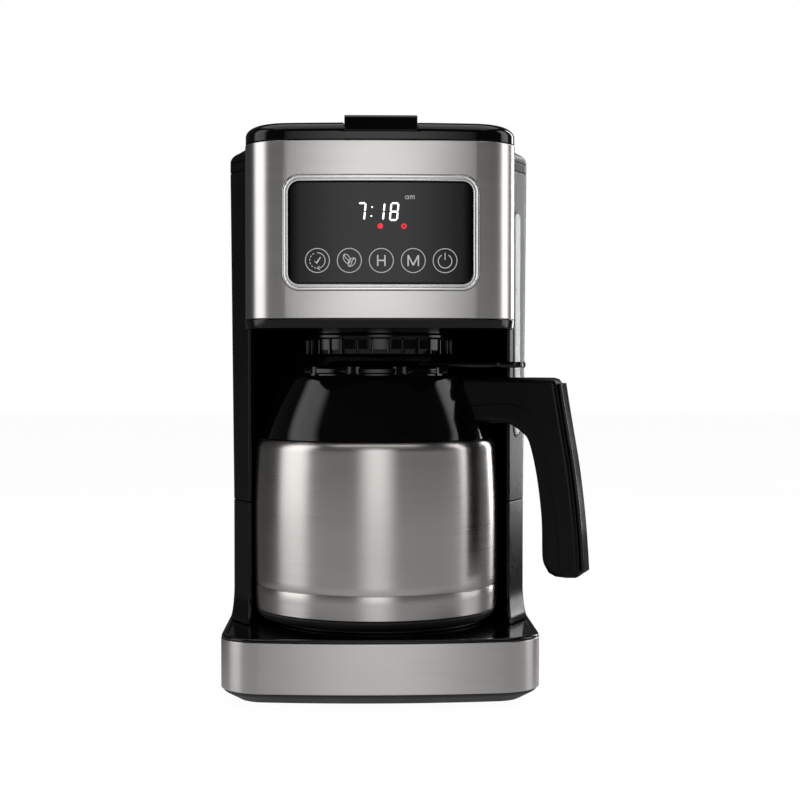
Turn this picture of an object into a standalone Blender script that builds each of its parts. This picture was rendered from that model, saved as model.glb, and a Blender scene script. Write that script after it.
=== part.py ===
"""Drip coffee maker with a touch panel and a thermal carafe.

Units: the script works in millimetres and scales to metres when it makes a mesh.
Frame: origin on the machine's centre plane, midway between the base's front and back,
on the table; +Z up, -Y towards the person who uses it, +X to that person's right.
"""

import bpy
import bmesh
from math import asin, atan2, cos, pi, radians, sin, sqrt
from mathutils import Matrix, Vector

MM = 0.001
GAP = 0.3  # between pieces that touch
FIT = 0.6  # between pieces that slide past each other
PIN_FIT = 0.3  # round the lid's hinge pin

# ---------------------------------------------------------------- driving dimensions

# Base
FRONT_MARGIN = 13.0  # of the base in front of the carafe
BASE_CORNER = 28.0
REAR_CORNER = 22.0
FRONT_BOW = 525.0  # radius of the bowed front faces
FOOT_HEIGHT = 2.0
PAN_HEIGHT = 7.0
PAN_TAPER = 12.0
BAND_HEIGHT = 29.8
SHEET = 0.9  # steel sheet of the base band and head panel
DECK_LIP = 2.0
DECK_ROOF = 3.0
BASE_WALL = 2.4
CARAFE_REST_HEIGHT = 1.4
CARAFE_REST_INSET = 11.0  # from the carafe's widest ring
FOOT_RADIUS = 9.0
FOOT_PEG = 3.0
FOOT_RECESS = 0.6
FOOT_INSET = 34.0
SCREW_RADIUS = 1.6
SCREW_HEAD = 3.5
SCREW_LENGTH = 12.0
POST_RADIUS = 4.5
GLAND_X = -60.0
GLAND_Z = 24.0
GLAND_RADIUS = 6.0
GLAND_BORE = 3.4
GLAND_LENGTH = 8.0

# Carafe: its body, neck and collar
CARAFE_X = -2.0
CARAFE_RADIUS = 77.0
CARAFE_HEIGHT = 112.3  # from its foot to its shoulder
CARAFE_WALL = 0.9
CARAFE_FOOT_HEIGHT = 6.6
SHOULDER_INSET = 5.1
SHOULDER_ROUND = 6.0
BELLY_RISE = 59.7  # height of the body's widest ring over its foot
BODY_TAPER = 1.4
GROOVE_RISE = 21.8
GROOVE = 0.5
NECK_RADIUS = 50.0
COLLAR_HEIGHT = 39.8
COLLAR_WALL = 2.2
COLLAR_RIM = 7.7  # width of the collar's top round the neck
COLLAR_BULGE = 1.2
SPOUT_INSET = 1.3  # of its tip from the carafe's widest ring

# Carafe handle
HANDLE_TURN = -18.0  # degrees round the carafe's axis, from +X towards the front
HANDLE_HALF = 11.5
HANDLE_REACH = 58.6  # from the carafe's widest ring to the handle's farthest edge
HANDLE_RISE = 28.5  # the handle's foot over the carafe's foot
STRIP = 2.2

# Carafe lid, its lever and its valve
LID_FLANGE_HEIGHT = 5.3  # over the collar
LID_DISC_HEIGHT = 9.1  # over the collar
LID_DISC_RADIUS = 28.6
FLANGE_LAP = 0.6  # of the lid's flange over the neck's edge
PLUG_FIT = 2.4  # between the lid's plug and the neck, closed by the gasket
PLUG_DEPTH = 17.4
PLUG_FLOOR = 2.4
GASKET_DEPTH = 13.4
GASKET_HEIGHT = 3.4
GASKET_GROOVE = 2.0
GASKET_FIT = 1.2  # to the neck: its wall and a gap
SCALLOPS = 10
SCALLOP_RADIUS = 7.5
LEVER_PIVOT = 24.0
LEVER_REACH = 19.0  # past the carafe's widest ring
LEVER_HALF = 6.0
LEVER_THICKNESS = 3.7
LEVER_DROP = 4.3  # from the lid's top to the lever's underside
LEVER_DIP = 2.4  # room under the lever for its stroke
LEVER_PIN_RADIUS = 1.25
LEVER_PIN_GRIP = 3.0
VALVE_STEM = 2.2
VALVE_PORT = 5.0
VALVE_RADIUS = 9.0
VALVE_PLATE = 2.4
STEM_HEAD = 3.8
STEM_HEAD_HEIGHT = 1.4

# Brew funnel, standing over the carafe's usual place
FUNNEL_LIFT = 2.5  # over the carafe's lid
FUNNEL_THROAT_RADIUS = 45.6
FUNNEL_FLARE = 10.4  # from its throat to its top
FUNNEL_WALL = 2.0
FUNNEL_RIM = 2.4
FUNNEL_FLOOR = 5.0
DRIP_BORE = 6.4
DRIP_STEM = 3.0
DRIP_TIP_LIFT = 1.8  # over the carafe's lid
SPRING_HEIGHT = 12.0
FILTER_RIM = 1.6
FILTER_RISE = 18.0  # over the head's underside

# Bay, tower and tank
BAY_CLEARANCE = 1.2  # between the carafe and the bay's walls
BAY_GAP = 8.0  # behind the carafe
BAY_CORNER = 50.0
BAY_STEPS = 7
ARM_WIDTH = 15.4  # of the tower's arms at their top
ARM_TAPER = 2.0
ARM_REACH = 10.0  # of the tower's arms in front of the carafe's axis
TOWER_DEPTH = 75.0  # behind the bay
TOWER_FOOT = 74.0  # height of the tower's lower housing and the gap under it
TOWER_WALL = 2.2
TOWER_RISE = 5.0  # over the head
RIM_DROP = 8.0
CAP_DROP = 2.0
SLANT_DEPTH = 25.0
SLANT_INSET = 2.0
FLARE = 20.0
FLARE_HEIGHT = 18.0
TANK_LEFT = -60.0
TANK_LIFT = 4.0
TANK_WALL = 1.5
TANK_FIT = 0.5
OUTLET_X = 30.0
OUTLET_RADIUS = 5.0
VALVE_DROP = 16.0
RISER_INSET = 12.2
RISER_RADIUS = 4.5
HEATER_RISE = 24.3
HEATER_RADIUS = 8.0
HEATER_HALF = 32.0

# Water window in the right slanted face
WINDOW_RISE = 40.3  # over the tower's seam
WINDOW_DROP = 25.0  # under the tank's rim
WINDOW_WIDTH = 12.0
WINDOW_THICKNESS = 1.8

# Head
HEAD_SETBACK = 5.0
HEAD_LIFT = 16.8  # the head's underside over the funnel's foot
HEAD_HEIGHT = 109.2
HEAD_CORNER = 27.0
HEAD_CLEARANCE = 0.5  # between the head and the bay's walls
HEAD_WALL = 2.4
HEAD_FLOOR = 2.6
LIP_HEIGHT = 5.0
FUNNEL_DECK_DROP = 21.0
FUNNEL_DECK_THICKNESS = 3.0

# Touch panel
BEZEL_WIDTH = 115.4
BEZEL_HEIGHT = 67.3
BEZEL_CORNER = 10.0
BEZEL_RING = 4.0
PANEL_DROP = 54.0  # from the head's top to the panel's middle

# Top lid
LID_OVERLAP = 0.9  # past the head on each side
LID_BAND = 4.4
LID_DOME = 9.2
LID_WALL = 2.4
LID_SETBACK = 17.0
TAB_WIDTH = 42.6
TAB_DEPTH = 21.0
TAB_RISE = 16.0  # over the head
HINGE_INSET = 4.0
HINGE_HEIGHT = 6.5  # over the head
HINGE_PIN_RADIUS = 1.5
KNUCKLE_RADIUS = 4.0
LUG_INSET = 15.6
LUG_WIDTH = 13.4

# ---------------------------------------------------------------- worked out from them

# Across
BAY_HALF = CARAFE_RADIUS + abs(CARAFE_X) + BAY_CLEARANCE
TOWER_HALF_TOP = BAY_HALF + ARM_WIDTH
TOWER_HALF_LOW = TOWER_HALF_TOP - ARM_TAPER
BASE_HALF = TOWER_HALF_TOP
HEAD_HALF = BAY_HALF - HEAD_CLEARANCE
LID_HALF = HEAD_HALF + LID_OVERLAP
CAP_INNER = LID_HALF + 0.8
LUG_FAR = LID_HALF - LUG_INSET
LUG_NEAR = LUG_FAR - LUG_WIDTH
PANEL_OFFSET = GAP + SHEET
SHOULDER_RADIUS = CARAFE_RADIUS - SHOULDER_INSET
COLLAR_TOP_RADIUS = NECK_RADIUS + COLLAR_RIM
SPOUT_REACH = CARAFE_RADIUS - SPOUT_INSET - COLLAR_TOP_RADIUS
LID_FLANGE_RADIUS = NECK_RADIUS + FLANGE_LAP
PLUG_RADIUS = NECK_RADIUS - PLUG_FIT
LEVER_TIP = CARAFE_RADIUS + LEVER_REACH
LEVER_SLOT = LEVER_HALF + FIT
LEVER_PIN_HALF = LEVER_SLOT + LEVER_PIN_GRIP
FUNNEL_TOP_RADIUS = FUNNEL_THROAT_RADIUS + FUNNEL_FLARE
RISER_X = RISER_INSET - BAY_HALF

# From front to back
BASE_DEPTH = FRONT_MARGIN + 2 * CARAFE_RADIUS + BAY_GAP + TOWER_DEPTH
BASE_FRONT = -BASE_DEPTH / 2
BASE_BACK = BASE_DEPTH / 2
HEAD_FRONT = BASE_FRONT + HEAD_SETBACK
CARAFE_Y = BASE_FRONT + FRONT_MARGIN + CARAFE_RADIUS
TOWER_FRONT = CARAFE_Y - ARM_REACH
BAY_BACK = CARAFE_Y + CARAFE_RADIUS + BAY_GAP
RISER_Y = BAY_BACK + 22
HEATER_FRONT = BAY_BACK + 30
HEATER_BACK = BASE_BACK - 21
OUTLET_Y = HEATER_BACK - 16
LID_BACK = BASE_BACK - LID_SETBACK
HINGE_Y = LID_BACK - HINGE_INSET

# Upwards
PAN_FLOOR = FOOT_HEIGHT + BASE_WALL
FOOT_SEAT = FOOT_HEIGHT + FOOT_RECESS
PAN_TOP = FOOT_HEIGHT + PAN_HEIGHT
BAND_LOW = PAN_TOP + GAP
BAND_TOP = BAND_LOW + BAND_HEIGHT
DECK_TOP = BAND_TOP + GAP + DECK_LIP
REST_TOP = DECK_TOP + GAP + CARAFE_REST_HEIGHT
CARAFE_BASE = REST_TOP + 0.2
BODY_LOW = CARAFE_BASE + CARAFE_FOOT_HEIGHT
BELLY = CARAFE_BASE + BELLY_RISE
GROOVE_HEIGHT = CARAFE_BASE + GROOVE_RISE
CARAFE_SHOULDER = CARAFE_BASE + CARAFE_HEIGHT
COLLAR_TOP = CARAFE_SHOULDER + COLLAR_HEIGHT
HANDLE_TOP = COLLAR_TOP - 1.2
HANDLE_UNDER = HANDLE_TOP - 28.2
HANDLE_LOW = CARAFE_BASE + HANDLE_RISE
HANDLE_SCREW_Z = COLLAR_TOP - 15.4
PLUG_LOW = COLLAR_TOP - PLUG_DEPTH
GASKET_LOW = COLLAR_TOP - GASKET_DEPTH
LID_FLANGE_TOP = COLLAR_TOP + LID_FLANGE_HEIGHT
LID_DISC_TOP = COLLAR_TOP + LID_DISC_HEIGHT
LEVER_LOW = LID_DISC_TOP - LEVER_DROP
LEVER_TOP = LEVER_LOW + LEVER_THICKNESS
LEVER_PIN_Z = (LEVER_LOW + LEVER_TOP) / 2
SLOT_FLOOR = LEVER_LOW - LEVER_DIP
CHAMBER_ROOF = SLOT_FLOOR - 2
VALVE_FLOOR = PLUG_LOW + PLUG_FLOOR
FORK_TOP = LEVER_LOW + 2.0
FUNNEL_BOTTOM = LID_DISC_TOP + FUNNEL_LIFT
DRIP_TIP = LID_DISC_TOP + DRIP_TIP_LIFT
DRIP_SHELF = FUNNEL_BOTTOM + FUNNEL_FLOOR
DRIP_SEAT = DRIP_SHELF + 6.5
SPRING_TOP = DRIP_SEAT + GAP + SPRING_HEIGHT
BAY_TOP = FUNNEL_BOTTOM + HEAD_LIFT
HEAD_TOP = BAY_TOP + HEAD_HEIGHT
FUNNEL_DECK = HEAD_TOP - FUNNEL_DECK_DROP
DECK_UPPER = FUNNEL_DECK + FUNNEL_DECK_THICKNESS
FUNNEL_RIM_LOW = DECK_UPPER + GAP
PANEL_CENTRE_Z = HEAD_TOP - PANEL_DROP
LID_LOW = HEAD_TOP + GAP
LID_TOP = LID_LOW + LID_BAND + LID_DOME
HINGE_Z = HEAD_TOP + HINGE_HEIGHT
TAB_TOP = HEAD_TOP + TAB_RISE
TOWER_BOTTOM = DECK_TOP + GAP
TOWER_SEAM = TOWER_BOTTOM + TOWER_FOOT
RIM_SEAM = HEAD_TOP - RIM_DROP
CAP_SEAM = HEAD_TOP - CAP_DROP
TOWER_TOP = HEAD_TOP + TOWER_RISE
WINDOW_LOW = TOWER_SEAM + WINDOW_RISE
WINDOW_HIGH = RIM_SEAM - WINDOW_DROP
TANK_FLOOR = TOWER_SEAM + TANK_LIFT
HEATER_Z = TOWER_BOTTOM + HEATER_RISE


# ---------------------------------------------------------------- materials and meshes


def material(name, colour, roughness, metallic=0.0):
    found = bpy.data.materials.get(name)
    if found:
        return found
    made = bpy.data.materials.new(name)
    made.use_nodes = True
    shader = made.node_tree.nodes["Principled BSDF"]
    shader.inputs["Base Color"].default_value = (*colour, 1.0)
    shader.inputs["Roughness"].default_value = roughness
    shader.inputs["Metallic"].default_value = metallic
    made.diffuse_color = (*colour, 1.0)
    return made


STEEL = ("steel", (0.55, 0.54, 0.53), 0.32, 1.0)
CHROME = ("chrome", (0.75, 0.75, 0.74), 0.12, 1.0)
ALUMINIUM = ("aluminium", (0.62, 0.62, 0.62), 0.45, 1.0)
GLOSS = ("gloss_black", (0.008, 0.008, 0.009), 0.12)
SATIN = ("satin_black", (0.014, 0.014, 0.015), 0.35)
MATT = ("matt_black", (0.02, 0.02, 0.02), 0.6)
GLASS = ("black_glass", (0.01, 0.01, 0.011), 0.05)
CLEAR = ("clear", (0.8, 0.85, 0.86), 0.1)
RUBBER = ("rubber", (0.03, 0.03, 0.03), 0.8)
SILICONE = ("silicone", (0.7, 0.7, 0.68), 0.5)
BOARD = ("board", (0.02, 0.12, 0.05), 0.5)


def finish(name, bm, look, smooth_angle=35.0):
    """Turn a bmesh in millimetres into a named object in metres."""
    bmesh.ops.recalc_face_normals(bm, faces=bm.faces)
    bmesh.ops.scale(bm, vec=(MM, MM, MM), verts=bm.verts)
    mesh = bpy.data.meshes.new(name)
    bm.to_mesh(mesh)
    bm.free()
    mesh.materials.append(material(*look))
    mesh.shade_smooth()
    mesh.set_sharp_from_angle(angle=radians(smooth_angle))
    made = bpy.data.objects.new(name, mesh)
    bpy.context.scene.collection.objects.link(made)
    return made


def guide(piece):
    """Mark a piece as a cutter, which isn't part of the object."""
    piece.hide_render = True
    piece.display_type = "WIRE"
    return piece


def boolean(piece, other, operation):
    step = piece.modifiers.new(operation.lower(), "BOOLEAN")
    step.operation = operation
    step.solver = "EXACT"
    step.object = guide(other)
    return piece


def cut(piece, *cutters):
    for cutter in cutters:
        boolean(piece, cutter, "DIFFERENCE")
    return piece


def add(piece, *others):
    for other in others:
        boolean(piece, other, "UNION")
    return piece


def set_origin(piece, x, y, z):
    """Move a piece's origin to a point, in millimetres, leaving the piece where it is."""
    point = Vector((x, y, z)) * MM
    piece.data.transform(Matrix.Translation(-point))
    piece.location = point
    return piece


# ---------------------------------------------------------------- outlines and solids


def arc(cx, cy, radius, start, end, steps):
    """Points on a circular arc, angles in degrees."""
    turns = [radians(start + (end - start) * i / steps) for i in range(steps + 1)]
    return [(cx + radius * cos(t), cy + radius * sin(t)) for t in turns]


def curve(start, control, end, steps):
    """Points on a quadratic curve after its start, up to its end."""
    made = []
    for i in range(1, steps + 1):
        t = i / steps
        weights = ((1 - t) ** 2, 2 * t * (1 - t), t * t)
        made.append(tuple(sum(w * p[k] for w, p in zip(weights, (start, control, end))) for k in (0, 1)))
    return made


def mirrored(points):
    """A right-hand run of points and its mirror image, as one closed outline."""
    return points + [(-x, y) for x, y in reversed(points) if abs(x) > 1e-6]


def bowed_outline(half, front, back, corner, rear_corner, bow=FRONT_BOW, rear_steps=4):
    """A rectangle with a bowed front, round front corners tangent to it, and round rear corners."""
    lean = asin((half - corner) / (bow - corner))
    lean_deg = lean * 180 / pi
    corner_x = (bow - corner) * sin(lean)
    corner_y = front + bow - (bow - corner) * cos(lean)
    right = arc(0, front + bow, bow, -90, -90 + lean_deg, 4)
    right += arc(corner_x, corner_y, corner, -90 + lean_deg, 0, 6)[1:]
    right += arc(half - rear_corner, back - rear_corner, rear_corner, 0, 90, rear_steps)
    return mirrored(right)


def base_outline(inset):
    return bowed_outline(
        BASE_HALF - inset, BASE_FRONT + inset, BASE_BACK - inset,
        BASE_CORNER - inset, REAR_CORNER - min(inset, REAR_CORNER - 2), FRONT_BOW - inset,
    )


def head_outline(grow):
    """The head's plan: its rear fits the bay's back wall with the same facets."""
    return bowed_outline(
        HEAD_HALF + grow, HEAD_FRONT + PANEL_OFFSET - grow, BAY_BACK - HEAD_CLEARANCE + grow,
        HEAD_CORNER + grow, BAY_CORNER - HEAD_CLEARANCE + grow, FRONT_BOW + grow, BAY_STEPS,
    )


def slant_ends(half):
    """Both ends of the slanted front face of a tower arm, in plan."""
    return (BAY_HALF + SLANT_INSET, TOWER_FRONT), (half, TOWER_FRONT + SLANT_DEPTH)


def tower_outline(
    half, wall=0.0, front=TOWER_FRONT, bay_half=BAY_HALF, bay_back=BAY_BACK, bay_corner=BAY_CORNER
):
    """The tower's C-shaped plan; wall moves every side into the material by that much."""
    (edge_x, edge_y), (side_x, side_y) = slant_ends(half)
    shift = front - TOWER_FRONT
    edge_y += shift
    side_y += shift
    slope = atan2(side_y - edge_y, side_x - edge_x)
    normal = (-sin(slope) * wall, cos(slope) * wall)
    inner = bay_half + wall
    outer = half - wall
    # the slanted line moved into the material, met by the front and the side
    run_x, run_y = cos(slope), sin(slope)
    base_x, base_y = edge_x + normal[0], edge_y + normal[1]
    front_y = edge_y + wall
    start = (base_x + (front_y - base_y) * run_x / run_y, front_y)
    corner = (outer, base_y + (outer - base_x) * run_y / run_x)
    if start[0] < inner + 0.2:
        start = (inner + 0.2, base_y + (inner + 0.2 - base_x) * run_y / run_x)
        front_y = start[1]
    near = (corner[0] - 4 * run_x, corner[1] - 4 * run_y)
    rear = REAR_CORNER - min(wall, REAR_CORNER - 2)
    turn = bay_corner + wall
    right = [(0.0, bay_back + wall)]
    right += arc(inner - turn, bay_back + wall - turn, turn, 90, 0, BAY_STEPS)
    right += [(inner, front_y), start, near]
    right += curve(near, corner, (outer, corner[1] + 6), 3)
    right += arc(outer - rear, BASE_BACK - wall - rear, rear, 0, 90, 4)
    right += [(0.0, BASE_BACK - wall)]
    return right + [(-x, y) for x, y in reversed(right) if x > 1e-6]


def loft(name, sections, look):
    """A solid through closed outlines of equal length: sections are (outline, height)."""
    bm = bmesh.new()
    rings = [[bm.verts.new((x, y, z)) for x, y in outline] for outline, z in sections]
    count = len(rings[0])
    for low, high in zip(rings, rings[1:]):
        for i in range(count):
            j = (i + 1) % count
            bm.faces.new((low[i], low[j], high[j], high[i]))
    bm.faces.new(rings[0])
    bm.faces.new(rings[-1])
    return finish(name, bm, look)


def prism(name, outline, low, high, look=MATT):
    return loft(name, [(outline, low), (outline, high)], look)


def rect(low_x, low_y, high_x, high_y):
    return [(low_x, low_y), (high_x, low_y), (high_x, high_y), (low_x, high_y)]


def box(name, low, high, look=MATT):
    return prism(name, rect(low[0], low[1], high[0], high[1]), low[2], high[2], look)


def rounded_rect(width, height, corner, steps=5):
    """An outline round the origin."""
    right, top = width / 2 - corner, height / 2 - corner
    made = arc(right, top, corner, 0, 90, steps) + arc(-right, top, corner, 90, 180, steps)
    return made + arc(-right, -top, corner, 180, 270, steps) + arc(right, -top, corner, 270, 360, steps)


def standing(name, outline, centre_x, centre_z, front, back, look=MATT):
    """An outline drawn in X and Z, standing between two depths."""
    made = prism(name, outline, front, back, look)
    made.data.transform(Matrix(((1, 0, 0, 0), (0, 0, 1, 0), (0, 1, 0, 0), (0, 0, 0, 1))))
    made.data.flip_normals()
    made.data.transform(Matrix.Translation(Vector((centre_x, 0, centre_z)) * MM))
    return made


def turned(name, profile, x, y, look, sides=48):
    """A profile of (radius, height), turned round a vertical axis at x, y.

    A profile that starts and ends at radius 0 closes with a flat face at each end."""
    capped = profile[0][0] < 1e-6
    runs = profile[1:-1] if capped else profile
    bm = bmesh.new()
    turns = [2 * pi * i / sides for i in range(sides)]
    rings = [[bm.verts.new((x + r * cos(t), y + r * sin(t), h)) for t in turns] for r, h in runs]
    following = rings[1:] if capped else rings[1:] + rings[:1]
    for ring, after in zip(rings, following):
        for i in range(sides):
            j = (i + 1) % sides
            bm.faces.new((ring[i], ring[j], after[j], after[i]))
    if capped:
        bm.faces.new(rings[0])
        bm.faces.new(rings[-1])
    return finish(name, bm, look)


def disc(name, radius, low, high, x, y, look=MATT, sides=32):
    return turned(name, [(0, low), (radius, low), (radius, high), (0, high)], x, y, look, sides)


def lay(piece, start, direction):
    """Turn a piece drawn up the Z axis to point in a direction, with its foot at start."""
    lean = Vector((0, 0, 1)).rotation_difference(Vector(direction)).to_matrix().to_4x4()
    piece.data.transform(Matrix.Translation(Vector(start) * MM) @ lean)
    return piece


def rod(name, radius, start, end, look, sides=24):
    """A round bar between two points."""
    run = Vector(end) - Vector(start)
    return lay(disc(name, radius, 0, run.length, 0, 0, look, sides), start, run)


def hull(name, points, look=MATT):
    bm = bmesh.new()
    for point in points:
        bm.verts.new(point)
    made = bmesh.ops.convex_hull(bm, input=bm.verts)
    loose = {v for v in made["geom_interior"] + made["geom_unused"] if isinstance(v, bmesh.types.BMVert)}
    bmesh.ops.delete(bm, geom=list(loose), context="VERTS")
    return finish(name, bm, look)


def tube(name, points, radius, look, resolution=3):
    """A round tube through points in millimetres, its ends capped."""
    line = bpy.data.curves.new(name, "CURVE")
    line.dimensions = "3D"
    line.bevel_depth = radius * MM
    line.bevel_resolution = resolution
    line.use_fill_caps = True
    spline = line.splines.new("POLY")
    spline.points.add(len(points) - 1)
    for slot, point in zip(spline.points, points):
        slot.co = (*(Vector(point) * MM), 1)
    line.materials.append(material(*look))
    made = bpy.data.objects.new(name, line)
    bpy.context.scene.collection.objects.link(made)
    return made


def smooth_route(points, steps=3):
    """Points on a Catmull-Rom curve through the given points."""
    spots = [Vector(p) for p in points]
    spots = [2 * spots[0] - spots[1]] + spots + [2 * spots[-1] - spots[-2]]
    made = []
    for a, b, c, d in zip(spots, spots[1:], spots[2:], spots[3:]):
        for i in range(steps):
            t = i / steps
            bend, twist = 2 * a - 5 * b + 4 * c - d, 3 * b - a - 3 * c + d
            made.append(0.5 * (2 * b + (c - a) * t + bend * t**2 + twist * t**3))
    return made + [spots[-2]]


def coil(name, x, y, low, high, radius, wire, turns, look):
    """A compression spring standing on a vertical axis, its ends at the coil's radius."""
    steps = turns * 8
    points = []
    for i in range(steps + 1):
        t = 2 * pi * i / 8
        rise = wire + (high - low - 2 * wire) * i / steps
        points.append((x + radius * cos(t), y + radius * sin(t), low + rise))
    return tube(name, points, wire, look, resolution=1)


# ---------------------------------------------------------------- base


def corners(inset_x, inset_y):
    """Four named places under the base, inset from its sides."""
    x, y = BASE_HALF - inset_x, BASE_BACK - inset_y
    return {"front_left": (-x, -y), "front_right": (x, -y), "rear_left": (-x, y), "rear_right": (x, y)}


FOOT_PLACES = corners(FOOT_INSET, FOOT_INSET)
SCREW_INSET = FOOT_INSET + FOOT_RADIUS + SCREW_HEAD
SCREW_PLACES = corners(SCREW_INSET - 0.5, SCREW_INSET + 1.5)


def base_pan():
    edge = 0.8
    pan = loft("base_pan", [
        (base_outline(PAN_TAPER), FOOT_HEIGHT), (base_outline(edge + 1.6), PAN_TOP - 1.8),
        (base_outline(edge), PAN_TOP),
    ], MATT)
    hollow = loft("pan_hollow", [
        (base_outline(PAN_TAPER + 2), PAN_FLOOR), (base_outline(edge + 1.6 + BASE_WALL), PAN_TOP - 1.4),
        (base_outline(edge + 1.6 + BASE_WALL), PAN_TOP + 2),
    ], MATT)
    cut(pan, hollow)
    for place, (x, y) in FOOT_PLACES.items():
        wide, peg = FOOT_RADIUS + GAP, FOOT_PEG + GAP
        profile = [(0, 0), (wide, 0), (wide, FOOT_SEAT), (peg, FOOT_SEAT), (peg, PAN_FLOOR + 1),
                   (0, PAN_FLOOR + 1)]
        cut(pan, turned("foot_hole_" + place, profile, x, y, MATT, 16))
    for place, (x, y) in SCREW_PLACES.items():
        head, shank, seat = SCREW_HEAD + GAP, SCREW_RADIUS + GAP, FOOT_HEIGHT + 1.4
        profile = [(0, 1), (head, 1), (head, seat), (shank, seat), (shank, PAN_FLOOR + 1), (0, PAN_FLOOR + 1)]
        cut(pan, turned("screw_hole_" + place, profile, x, y, MATT, 10))


def feet():
    for place, (x, y) in FOOT_PLACES.items():
        profile = [(0, 0), (FOOT_RADIUS - 1, 0), (FOOT_RADIUS, 1), (FOOT_RADIUS, FOOT_SEAT - GAP),
                   (FOOT_PEG, FOOT_SEAT - GAP), (FOOT_PEG, PAN_FLOOR + 2), (0, PAN_FLOOR + 2)]
        turned("foot_" + place, profile, x, y, RUBBER, 16)


def base_screws():
    low = FOOT_HEIGHT + 0.1
    for place, (x, y) in SCREW_PLACES.items():
        profile = [(0, low), (SCREW_HEAD, low), (SCREW_HEAD, low + 1), (SCREW_RADIUS, low + 1),
                   (SCREW_RADIUS, low + SCREW_LENGTH), (0, low + SCREW_LENGTH)]
        turned("base_screw_" + place, profile, x, y, STEEL, 10)


def base_band():
    band = prism("base_band", base_outline(0), BAND_LOW, BAND_TOP, STEEL)
    cut(band, prism("band_inside", base_outline(SHEET), BAND_LOW - 1, BAND_TOP + 1))
    rear = BASE_BACK - REAR_CORNER - 4
    wide = BASE_HALF + 5
    cut(band, box("band_rear", (-wide, rear, BAND_LOW - 2), (wide, BASE_BACK + 5, BAND_TOP + 2)))


def base_deck():
    skirt = SHEET + GAP
    deck = loft("base_deck", [
        (base_outline(skirt), BAND_LOW), (base_outline(skirt), BAND_TOP + GAP),
        (base_outline(0.4), BAND_TOP + GAP), (base_outline(0.4), DECK_TOP - 0.9),
        (base_outline(0.9), DECK_TOP - 0.25), (base_outline(1.9), DECK_TOP),
    ], GLOSS)
    ceiling = DECK_TOP - DECK_ROOF
    cut(deck, prism("deck_hollow", base_outline(skirt + BASE_WALL), BAND_LOW - 1, ceiling))
    for place, (x, y) in SCREW_PLACES.items():
        post = disc("deck_post_" + place, POST_RADIUS, PAN_FLOOR + GAP, ceiling + 1, x, y, sides=12)
        add(deck, post)
        top = PAN_FLOOR + SCREW_LENGTH + 2
        cut(deck, disc("post_hole_" + place, SCREW_RADIUS + GAP, PAN_FLOOR - 1, top, x, y, sides=10))
    wiring = box("deck_wiring", (-40, BAY_BACK + 12, ceiling - 1), (40, BAY_BACK + 40, DECK_TOP + 1))
    gland_hole = rod("gland_hole", GLAND_RADIUS + GAP, (GLAND_X, BASE_BACK - 12, GLAND_Z),
                     (GLAND_X, BASE_BACK + 2, GLAND_Z), MATT)
    cut(deck, wiring, gland_hole)


def cable_gland():
    flange, end = GLAND_RADIUS + 3, GLAND_LENGTH + 2
    profile = [(GLAND_BORE, 0), (GLAND_RADIUS, 0), (GLAND_RADIUS, GLAND_LENGTH), (flange, GLAND_LENGTH),
               (flange, end), (GLAND_BORE, end)]
    gland = turned("cable_gland", profile, 0, 0, RUBBER, 24)
    lay(gland, (GLAND_X, BASE_BACK - SHEET - GLAND_LENGTH, GLAND_Z), (0, 1, 0))


def carafe_rest():
    low = DECK_TOP + GAP
    radius, edge = CARAFE_RADIUS - CARAFE_REST_INSET, 0.5
    profile = [(0, low), (radius, low), (radius, REST_TOP - edge), (radius - edge, REST_TOP), (0, REST_TOP)]
    turned("carafe_rest", profile, 0, CARAFE_Y, MATT, 36)


def power_board():
    low = PAN_FLOOR + 5
    front = BAY_BACK - 30
    board = box("power_board", (-35, front, low), (25, front + 50, low + 1.6), BOARD)
    relay = box("board_relay", (-20, front + 10, low + 1), (0, front + 25, low + 16))
    capacitor = disc("board_capacitor", 6, low + 1, low + 18, 12, front + 35, sides=20)
    add(board, relay, capacitor)


# ---------------------------------------------------------------- tower


def tower_half(height):
    """The tower narrows a little downwards."""
    share = max(0.0, min(1.0, (height - TOWER_SEAM) / (RIM_SEAM - TOWER_SEAM)))
    return TOWER_HALF_LOW + (TOWER_HALF_TOP - TOWER_HALF_LOW) * share


def tower_lower():
    top = TOWER_SEAM - GAP
    sections = []
    for i in range(6):
        rise = i / 5
        reach = FLARE * (1 - sqrt(1 - (1 - rise) ** 2))
        half = TOWER_HALF_LOW + (BASE_HALF - 1.2 - TOWER_HALF_LOW) * (1 - rise) ** 2
        sections.append((tower_outline(half, front=TOWER_FRONT - reach), TOWER_BOTTOM + FLARE_HEIGHT * rise))
    sections.append((tower_outline(TOWER_HALF_LOW), top))
    housing = loft("tower_lower", sections, SATIN)
    cut(housing, prism("lower_hollow", tower_outline(TOWER_HALF_LOW, TOWER_WALL), TOWER_BOTTOM - 1, top + 1))


def slot_outline(width, low, high, steps=8):
    """A slot with round ends, across X and up Z."""
    radius = width / 2
    return arc(0, high - radius, radius, 0, 180, steps) + arc(0, low + radius, radius, 180, 360, steps)


def window_prism(name, width, low, high, outer, inner, look=CLEAR):
    """A slot-shaped prism square to the right slanted face; depths are measured out of the face."""
    height = (low + high) / 2
    (ax, ay), (bx, by) = slant_ends(tower_half(height))
    turn = atan2(by - ay, bx - ax)
    made = standing(name, slot_outline(width, low, high), 0, 0, -outer, -inner, look)
    middle = Vector(((ax + bx) / 2 - 0.6, (ay + by) / 2 - 1.0, 0)) * MM
    made.data.transform(Matrix.Translation(middle) @ Matrix.Rotation(turn, 4, "Z"))
    return made


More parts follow.
